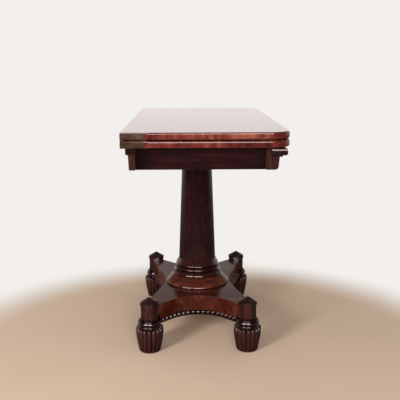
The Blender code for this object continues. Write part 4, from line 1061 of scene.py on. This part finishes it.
class GAMESTABLE_OT_gadroon(bpy.types.Operator):
    """Carve the slanting lobes under the platform's four hollow sides"""

    bl_idname = "games_table.gadroon"
    bl_label = "Gadroon"

    STATIONS = 12             # along one lobe
    ROWS = 12                 # up the face of a lobe
    BITE = 0.002              # how far the strip runs into the foot's flange
    HOLLOW_STEPS = 64         # along half a hollow
    SQUARENESS = 2.6          # 2 is a half-round, more is flatter in front

    def execute(self, context):
        shape = context.scene.games_table.shape
        ends = (shape.end_waist, shape.end_hollow, (POST_Y - POST_HALF, POST_X - POST_FACET))
        sides = (shape.side_waist, shape.side_hollow, (POST_X - POST_HALF, POST_Y + POST_FACET))
        for node, turn, hollow in (
            ("gadroon_left", 180, ends),
            ("gadroon_right", 0, ends),
            ("gadroon_front", -90, sides),
            ("gadroon_back", 90, sides),
        ):
            work = self.strip(shape, node, hollow)
            place = Matrix.Translation((AXIS.x, AXIS.y, 0)) @ Matrix.Rotation(math.radians(turn), 4, "Z")
            bmesh.ops.transform(work, matrix=place, verts=work.verts)
            # Painted shade in the hollows between the lobes
            mark_hollow_shade(work)
            dress(node, work, rosewood("X" if hollow is sides else "Y", "buffed"), flats=False)
        return {"FINISHED"}

    def path(self, hollow):
        """The platform's edge on one hollow side that faces +X, from post to post."""
        waist, radius, (along, out) = hollow
        centre = waist + radius
        contact = math.atan2(along, centre - out) - math.acos(radius / math.hypot(along, centre - out))
        half = []
        for i in range(self.HOLLOW_STEPS + 1):
            angle = contact * i / self.HOLLOW_STEPS
            half.append(Vector((centre - radius * math.cos(angle), radius * math.sin(angle))))
        half.append(Vector((out, along)))
        return [Vector((p.x, -p.y)) for p in reversed(half[1:])] + half

    def strip(self, shape, node, hollow):
        low, high = (corner.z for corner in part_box(node))
        path = self.path(hollow)
        lengths = [0]
        for before, after in zip(path, path[1:]):
            lengths.append(lengths[-1] + (after - before).length)
        total = lengths[-1]
        post = Vector((POST_X, -POST_Y)) if path[0].x > path[-1].y else Vector((POST_Y, -POST_X))
        trim = self.covered_by_flange(path, lengths, post, shape.flange_radius)
        lobes = round(total / shape.gadroon_pitch)
        stations = self.STATIONS * lobes
        depth = shape.gadroon_projection + shape.gadroon_valley
        rings = []
        for i in range(stations + 1):
            place = total * i / stations
            if not trim < place < total - trim:
                continue
            part = (i % self.STATIONS) / self.STATIONS
            across = math.sqrt(max(0, 1 - (2 * part - 1) ** 2))
            ring = [self.point(path, lengths, place, -shape.gadroon_depth, high)]
            for row in range(self.ROWS + 1):
                up = 1 - row / self.ROWS
                bulge = (1 - abs(2 * up - 1) ** self.SQUARENESS) ** 0.5
                out = depth * across * bulge - shape.gadroon_valley
                lean = shape.gadroon_slant * (up - 0.5)
                ring.append(self.point(path, lengths, place + lean, out, low + (high - low) * up))
            ring.append(self.point(path, lengths, place, -shape.gadroon_depth, low))
            rings.append(ring)
        return loft(rings)

    def covered_by_flange(self, path, lengths, post, radius):
        """How much of the path lies inside the flange of the foot at its start."""
        covered = 0
        while (Vector(self.point(path, lengths, covered, 0, 0)[:2]) - post).length < radius - self.BITE:
            covered += FIT
        return covered

    def point(self, path, lengths, distance, out, z):
        """A point out from the path at a distance along it."""
        index = 0
        while index + 2 < len(path) and lengths[index + 1] < distance:
            index += 1
        step = path[index + 1] - path[index]
        on = path[index] + step * ((distance - lengths[index]) / step.length)
        tangent = step.normalized()
        return (on.x + tangent.y * out, on.y - tangent.x * out, z)


class GAMESTABLE_OT_posts(bpy.types.Operator):
    """Polish the octagonal corner posts and their pyramid caps"""

    bl_idname = "games_table.posts"
    bl_label = "Corner posts"

    def execute(self, context):
        shape = context.scene.games_table.shape
        posts = red_rosewood("waxed")
        caps = rosewood("Z", "waxed")
        for corner in CORNERS:
            dress_solids([f"corner_post_{corner}"], shape.arris, posts)
            dress_solids([f"post_cap_{corner}"], shape.fine_arris, caps)
        return {"FINISHED"}


class GAMESTABLE_OT_feet(bpy.types.Operator):
    """Carve the lobed feet under their turned rings"""

    bl_idname = "games_table.feet"
    bl_label = "Feet"

    LOBE_STEPS = 12
    # Shares of the bulb's height, of its swell and of the lobes' depth
    BULB = ((0, 0, 0.8), (0.06, 0.18, 1), (0.42, 0.67, 1), (0.66, 0.93, 1), (0.90, 1, 1), (0.972, 0.90, 1),
            (0.994, 0.50, 0.8))
    FULLNESS = 0.7            # below 1 the lobes are rounder than the hollows between them
    NECK_LOBE = 0.2           # share of the lobes' depth left under the ring
    BULB_STEPS = 6            # between two sections of the bulb
    FRONT_STEPS = 10          # down the full front of the flange
    UNDER_STEPS = 8           # round its lower edge

    def execute(self, context):
        shape = context.scene.games_table.shape
        carved = red_rosewood("carved")
        turned_part = self.turned_rows(shape)
        bulb = self.bulb_rows(shape)
        for corner, (sx, sy) in CORNERS.items():
            centre = Vector((AXIS.x + sx * POST_X, AXIS.y + sy * POST_Y, 0))
            rings = []
            for radius, z in turned_part:
                rings.append(self.ring(shape, centre, z, [(0, radius, 0), (1, radius, 0)], 0))
            rings += [self.ring(shape, centre, row[0], bulb, row[0]) for row in reversed(bulb)]
            work = loft(rings)
            # Painted shade in the valleys between the lobes, spread to the points beside them
            mark_hollow_shade(work, 2)
            for polygon in work.faces:
                polygon.material_index = 1 if polygon.calc_center_median().z < shape.bulb_height else 0
            dress(f"foot_{corner}", work, rosewood("Z"), carved, flats=False)
        return {"FINISHED"}

    def turned_rows(self, shape):
        """Radius and height from the dowel down to the neck above the lobes."""
        top = POST[0].z - FIT
        flange_top = top - shape.shoulder_height
        flange_bottom = flange_top - shape.flange_height
        rows = [(shape.dowel, FOOT[1].z), (shape.dowel, top), (shape.shoulder_radius, top)]
        belly = flange_bottom + shape.ring_nose
        start = math.degrees(math.asin((flange_top - belly) / shape.flange_swell))
        rows.append((shape.shoulder_radius, flange_top))
        front = (shape.flange_radius - shape.flange_swell, belly)
        rows += arc(front, shape.flange_swell, start, 0, self.FRONT_STEPS)
        under = (shape.flange_radius - shape.ring_nose, belly)
        rows += arc(under, shape.ring_nose, 0, -90, self.UNDER_STEPS)[1:]
        rows += ring_profile(
            shape.foot_neck, shape.foot_ring, shape.ring_nose, flange_bottom, shape.bulb_height
        )
        return rows

    def bulb_rows(self, shape):
        """Height, radius and depth of the lobes, from the floor up to the neck."""
        swell = shape.bulb_radius - shape.bulb_base
        sections = [
            (up * shape.bulb_height, shape.bulb_base + out * swell, shape.lobe_depth * deep)
            for up, out, deep in self.BULB
        ]
        sections.append((shape.bulb_height, shape.foot_neck, shape.lobe_depth * self.NECK_LOBE))
        return [tuple(row) for row in smooth_line(sections, self.BULB_STEPS)]

    def ring(self, shape, centre, z, rows, height):
        """One ring of a foot; each lobe reaches its full height only along its middle."""
        count = shape.foot_lobes * self.LOBE_STEPS
        ring = []
        for i in range(count):
            angle = math.tau * i / count
            across = abs(math.cos(shape.foot_lobes * angle / 2))
            top = 1 - shape.lobe_round * (1 - across)
            radius, depth = self.between(rows, height / top)
            out = radius - depth * (1 - across ** self.FULLNESS)
            ring.append((centre.x + out * math.cos(angle), centre.y + out * math.sin(angle), z))
        return ring

    def between(self, rows, height):
        """Radius and depth at a height between two rows."""
        for before, after in zip(rows, rows[1:]):
            if height <= after[0]:
                part = (height - before[0]) / (after[0] - before[0])
                return [a + (b - a) * part for a, b in zip(before[1:], after[1:])]
        return rows[-1][1:]


class GAMESTABLE_OT_stage(bpy.types.Operator):
    """Set up the plain floor, the background, two window lights and the camera"""

    bl_idname = "games_table.stage"
    bl_label = "Stage"

    FLOOR_CENTRE = (-0.35, 0.0)
    FLOOR_INNER = 0.74        # radius of the even floor
    FLOOR_OUTER = 1.05        # radius at which it has faded into the background
    CAMERA = (-2.1272, 0.0527, 0.9036)
    PITCH = 0.216             # radians below the horizon
    YAW = -0.021
    ROLL = -0.0019
    WINDOW = (0.7, 1.2)       # width and height of a lamp
    WINDOWS = ((-2.70, 2.12, 1.5), (-3.30, -0.48, 1.5))
    STRENGTHS = (1.5, 0.7)    # of the lamp's power
    AIM = (0, 0, 0.4)
    # The room as gloss shows it: where the dark side turns into the wall, and how dark it is
    WALL = (-0.15, 0.55)
    DARK_SIDE = 0.02
    # Where the wall turns into the ceiling and into the floor, and their brightness
    FADES = ((0.12, 0.5, 0.12), (0, -0.25, 0.10))
    # The windows as gloss shows them, on a plane 1 m before the table: middle, width, sill and head
    PANES = ((0.92, 1.02, 0.10, 0.72), (-0.08, 0.66, 0.07, 0.58))

    def execute(self, context):
        settings = context.scene.games_table.stage
        self.background(context.scene, settings)
        self.floor(settings)
        for number, (place, strength) in enumerate(zip(self.WINDOWS, self.STRENGTHS)):
            lamp = bpy.data.lights.new(f"window_{number}", "AREA")
            lamp.shape = "RECTANGLE"
            lamp.size, lamp.size_y = self.WINDOW
            lamp.energy = settings.lamp * strength
            obj = bpy.data.objects.new(lamp.name, lamp)
            obj.location = place
            obj.rotation_euler = (Vector(self.AIM) - Vector(place)).to_track_quat("-Z", "Y").to_euler()
            obj.visible_camera = False
            obj.visible_glossy = False
            context.scene.collection.objects.link(obj)
        self.camera(context.scene, settings)
        context.scene.view_settings.view_transform = "Standard"
        return {"FINISHED"}

    def background(self, scene, settings):
        """White to the camera; gloss shows a white wall behind the table and a dim room before it."""
        world = bpy.data.worlds.new("plain_room")
        world.use_nodes = True
        scene.world = world
        tree = world.node_tree
        tree.nodes.clear()
        towards = add_node(tree, "ShaderNodeTexCoord")["Generated"]
        split = add_node(tree, "ShaderNodeSeparateXYZ", {0: towards})
        dark, light = self.WALL
        room = add_node(
            tree, "ShaderNodeMapRange", {0: split["X"], 1: dark, 2: light, 3: self.DARK_SIDE, 4: 1},
            interpolation_type="SMOOTHSTEP",
        )[0]
        for near, far, level in self.FADES:
            part = add_node(
                tree, "ShaderNodeMapRange", {0: split["Z"], 1: near, 2: far}, interpolation_type="SMOOTHSTEP"
            )[0]
            room = add_node(tree, "ShaderNodeMix", {0: part, 2: room, 3: level})[0]
        before = add_node(tree, "ShaderNodeMath", {0: split["X"], 1: -1}, operation="MULTIPLY")[0]
        before = add_node(tree, "ShaderNodeMath", {0: before, 1: WELD}, operation="MAXIMUM")[0]
        across = add_node(tree, "ShaderNodeMath", {0: split["Y"], 1: before}, operation="DIVIDE")[0]
        rise = add_node(tree, "ShaderNodeMath", {0: split["Z"], 1: before}, operation="DIVIDE")[0]
        for middle, width, sill, head in self.PANES:
            pane = settings.panes
            spans = ((across, middle, width / 2), (rise, (sill + head) / 2, (head - sill) / 2))
            for place, centre, half in spans:
                inside = add_node(
                    tree, "ShaderNodeMath", {0: place, 1: centre, 2: half}, operation="COMPARE"
                )[0]
                pane = add_node(tree, "ShaderNodeMath", {0: inside, 1: pane}, operation="MULTIPLY")[0]
            room = add_node(tree, "ShaderNodeMath", {0: room, 1: pane}, operation="ADD")[0]
        room = add_node(
            tree, "ShaderNodeMix", {0: 1, 6: (*settings.gloss, 1), 7: room}, data_type="RGBA",
            blend_type="MULTIPLY",
        )[2]
        path = add_node(tree, "ShaderNodeLightPath")
        gloss = add_node(
            tree, "ShaderNodeMath", {0: path["Is Glossy Ray"], 1: path["Is Transmission Ray"]},
            operation="MAXIMUM",
        )[0]
        ambient = [channel * settings.ambient for channel in settings.background]
        seen = add_node(tree, "ShaderNodeMix", {0: gloss, 6: (*ambient, 1), 7: room}, data_type="RGBA")[2]
        seen = add_node(
            tree, "ShaderNodeMix", {0: path["Is Camera Ray"], 6: seen, 7: (*settings.background, 1)},
            data_type="RGBA",
        )[2]
        shown = add_node(tree, "ShaderNodeBackground", {"Color": seen})[0]
        add_node(tree, "ShaderNodeOutputWorld", {"Surface": shown})

    def floor(self, settings):
        """A pale matt floor that keeps the shadow and fades into the background."""
        work = bmesh.new()
        bmesh.ops.create_circle(work, cap_ends=True, segments=128, radius=self.FLOOR_OUTER)
        middle = Vector((*self.FLOOR_CENTRE, -FIT))
        bmesh.ops.translate(work, verts=work.verts, vec=middle)
        mesh = bpy.data.meshes.new("floor")
        work.to_mesh(mesh)
        work.free()
        floor = bpy.data.objects.new("floor", mesh)
        bpy.context.scene.collection.objects.link(floor)

        material, tree, shader = new_material("floor_matt_pale")
        place = add_node(tree, "ShaderNodeTexCoord")["Object"]
        reach = add_node(tree, "ShaderNodeVectorMath", {0: place, 1: middle}, operation="DISTANCE")["Value"]
        fade = add_node(
            tree, "ShaderNodeMapRange", {0: reach, 1: self.FLOOR_INNER, 2: self.FLOOR_OUTER},
            interpolation_type="SMOOTHSTEP",
        )[0]
        cloud = add_node(
            tree, "ShaderNodeTexNoise", {"Vector": place, "Scale": 1 / (400 * MM), "Detail": 3}
        )[0]
        shade = add_node(tree, "ShaderNodeMapRange", {0: cloud, 1: 0.3, 2: 0.7, 3: 0.96, 4: 1.02})[0]
        path = add_node(tree, "ShaderNodeLightPath")
        glossy = path["Is Glossy Ray"]
        dim = add_node(tree, "ShaderNodeMapRange", {0: glossy, 3: 1, 4: settings.floor_gloss})[0]
        shade = add_node(tree, "ShaderNodeMath", {0: shade, 1: dim}, operation="MULTIPLY")[0]
        tone = add_node(
            tree, "ShaderNodeMix", {0: 1, 6: (*settings.floor, 1), 7: shade}, data_type="RGBA",
            blend_type="MULTIPLY",
        )[2]
        wire(tree, shader, {"Base Color": tone, "Roughness": 0.9, "Specular IOR Level": 0})
        fade = add_node(tree, "ShaderNodeMath", {0: fade, 1: path["Is Camera Ray"]}, operation="MULTIPLY")[0]
        glow = add_node(tree, "ShaderNodeEmission", {"Color": (*settings.background, 1)})
        mixed = add_node(tree, "ShaderNodeMixShader", {0: fade, 1: shader.outputs[0], 2: glow[0]})
        tree.links.new(mixed[0], tree.nodes["Material Output"].inputs["Surface"])
        mesh.materials.append(material)

    def camera(self, scene, settings):
        lens = bpy.data.cameras.new("camera")
        lens.lens = settings.lens
        camera = bpy.data.objects.new("camera", lens)
        ahead = Vector((
            math.cos(self.YAW) * math.cos(self.PITCH),
            math.sin(self.YAW) * math.cos(self.PITCH),
            -math.sin(self.PITCH),
        ))
        right = Matrix.Rotation(-self.ROLL, 3, ahead) @ ahead.cross(Vector((0, 0, 1))).normalized()
        up = right.cross(ahead)
        turn = Matrix((right, up, -ahead)).transposed().to_4x4()
        camera.matrix_world = Matrix.Translation(self.CAMERA) @ turn
        scene.collection.objects.link(camera)
        scene.camera = camera


OPERATORS = (
    GAMESTABLE_OT_leaves,
    GAMESTABLE_OT_baize,
    GAMESTABLE_OT_hinges,
    GAMESTABLE_OT_swivel,
    GAMESTABLE_OT_frieze,
    GAMESTABLE_OT_carcase,
    GAMESTABLE_OT_mouldings,
    GAMESTABLE_OT_column,
    GAMESTABLE_OT_platform,
    GAMESTABLE_OT_gadroon,
    GAMESTABLE_OT_posts,
    GAMESTABLE_OT_feet,
    GAMESTABLE_OT_stage,
)


class GAMESTABLE_PT_pieces(bpy.types.Panel):
    """Lists the table's pieces"""

    bl_idname = "GAMESTABLE_PT_pieces"
    bl_label = "Games Table"
    bl_space_type = "VIEW_3D"
    bl_region_type = "UI"
    bl_category = "Games Table"

    def draw(self, context):
        for operator in OPERATORS:
            self.layout.operator(operator.bl_idname)


GROUPS = (WoodSettings, MetalSettings, ClothSettings, ShapeSettings, StageSettings, TableSettings)
CLASSES = (*GROUPS, *OPERATORS, GAMESTABLE_PT_pieces)


def register():
    for cls in CLASSES:
        bpy.utils.register_class(cls)
    bpy.types.Scene.games_table = PointerProperty(type=TableSettings)


def unregister():
    del bpy.types.Scene.games_table
    for cls in reversed(CLASSES):
        bpy.utils.unregister_class(cls)


def main():
    register()
    for operator in OPERATORS:
        family, piece = operator.bl_idname.split(".")
        getattr(getattr(bpy.ops, family), piece)()


if __name__ == "__main__":
    main()
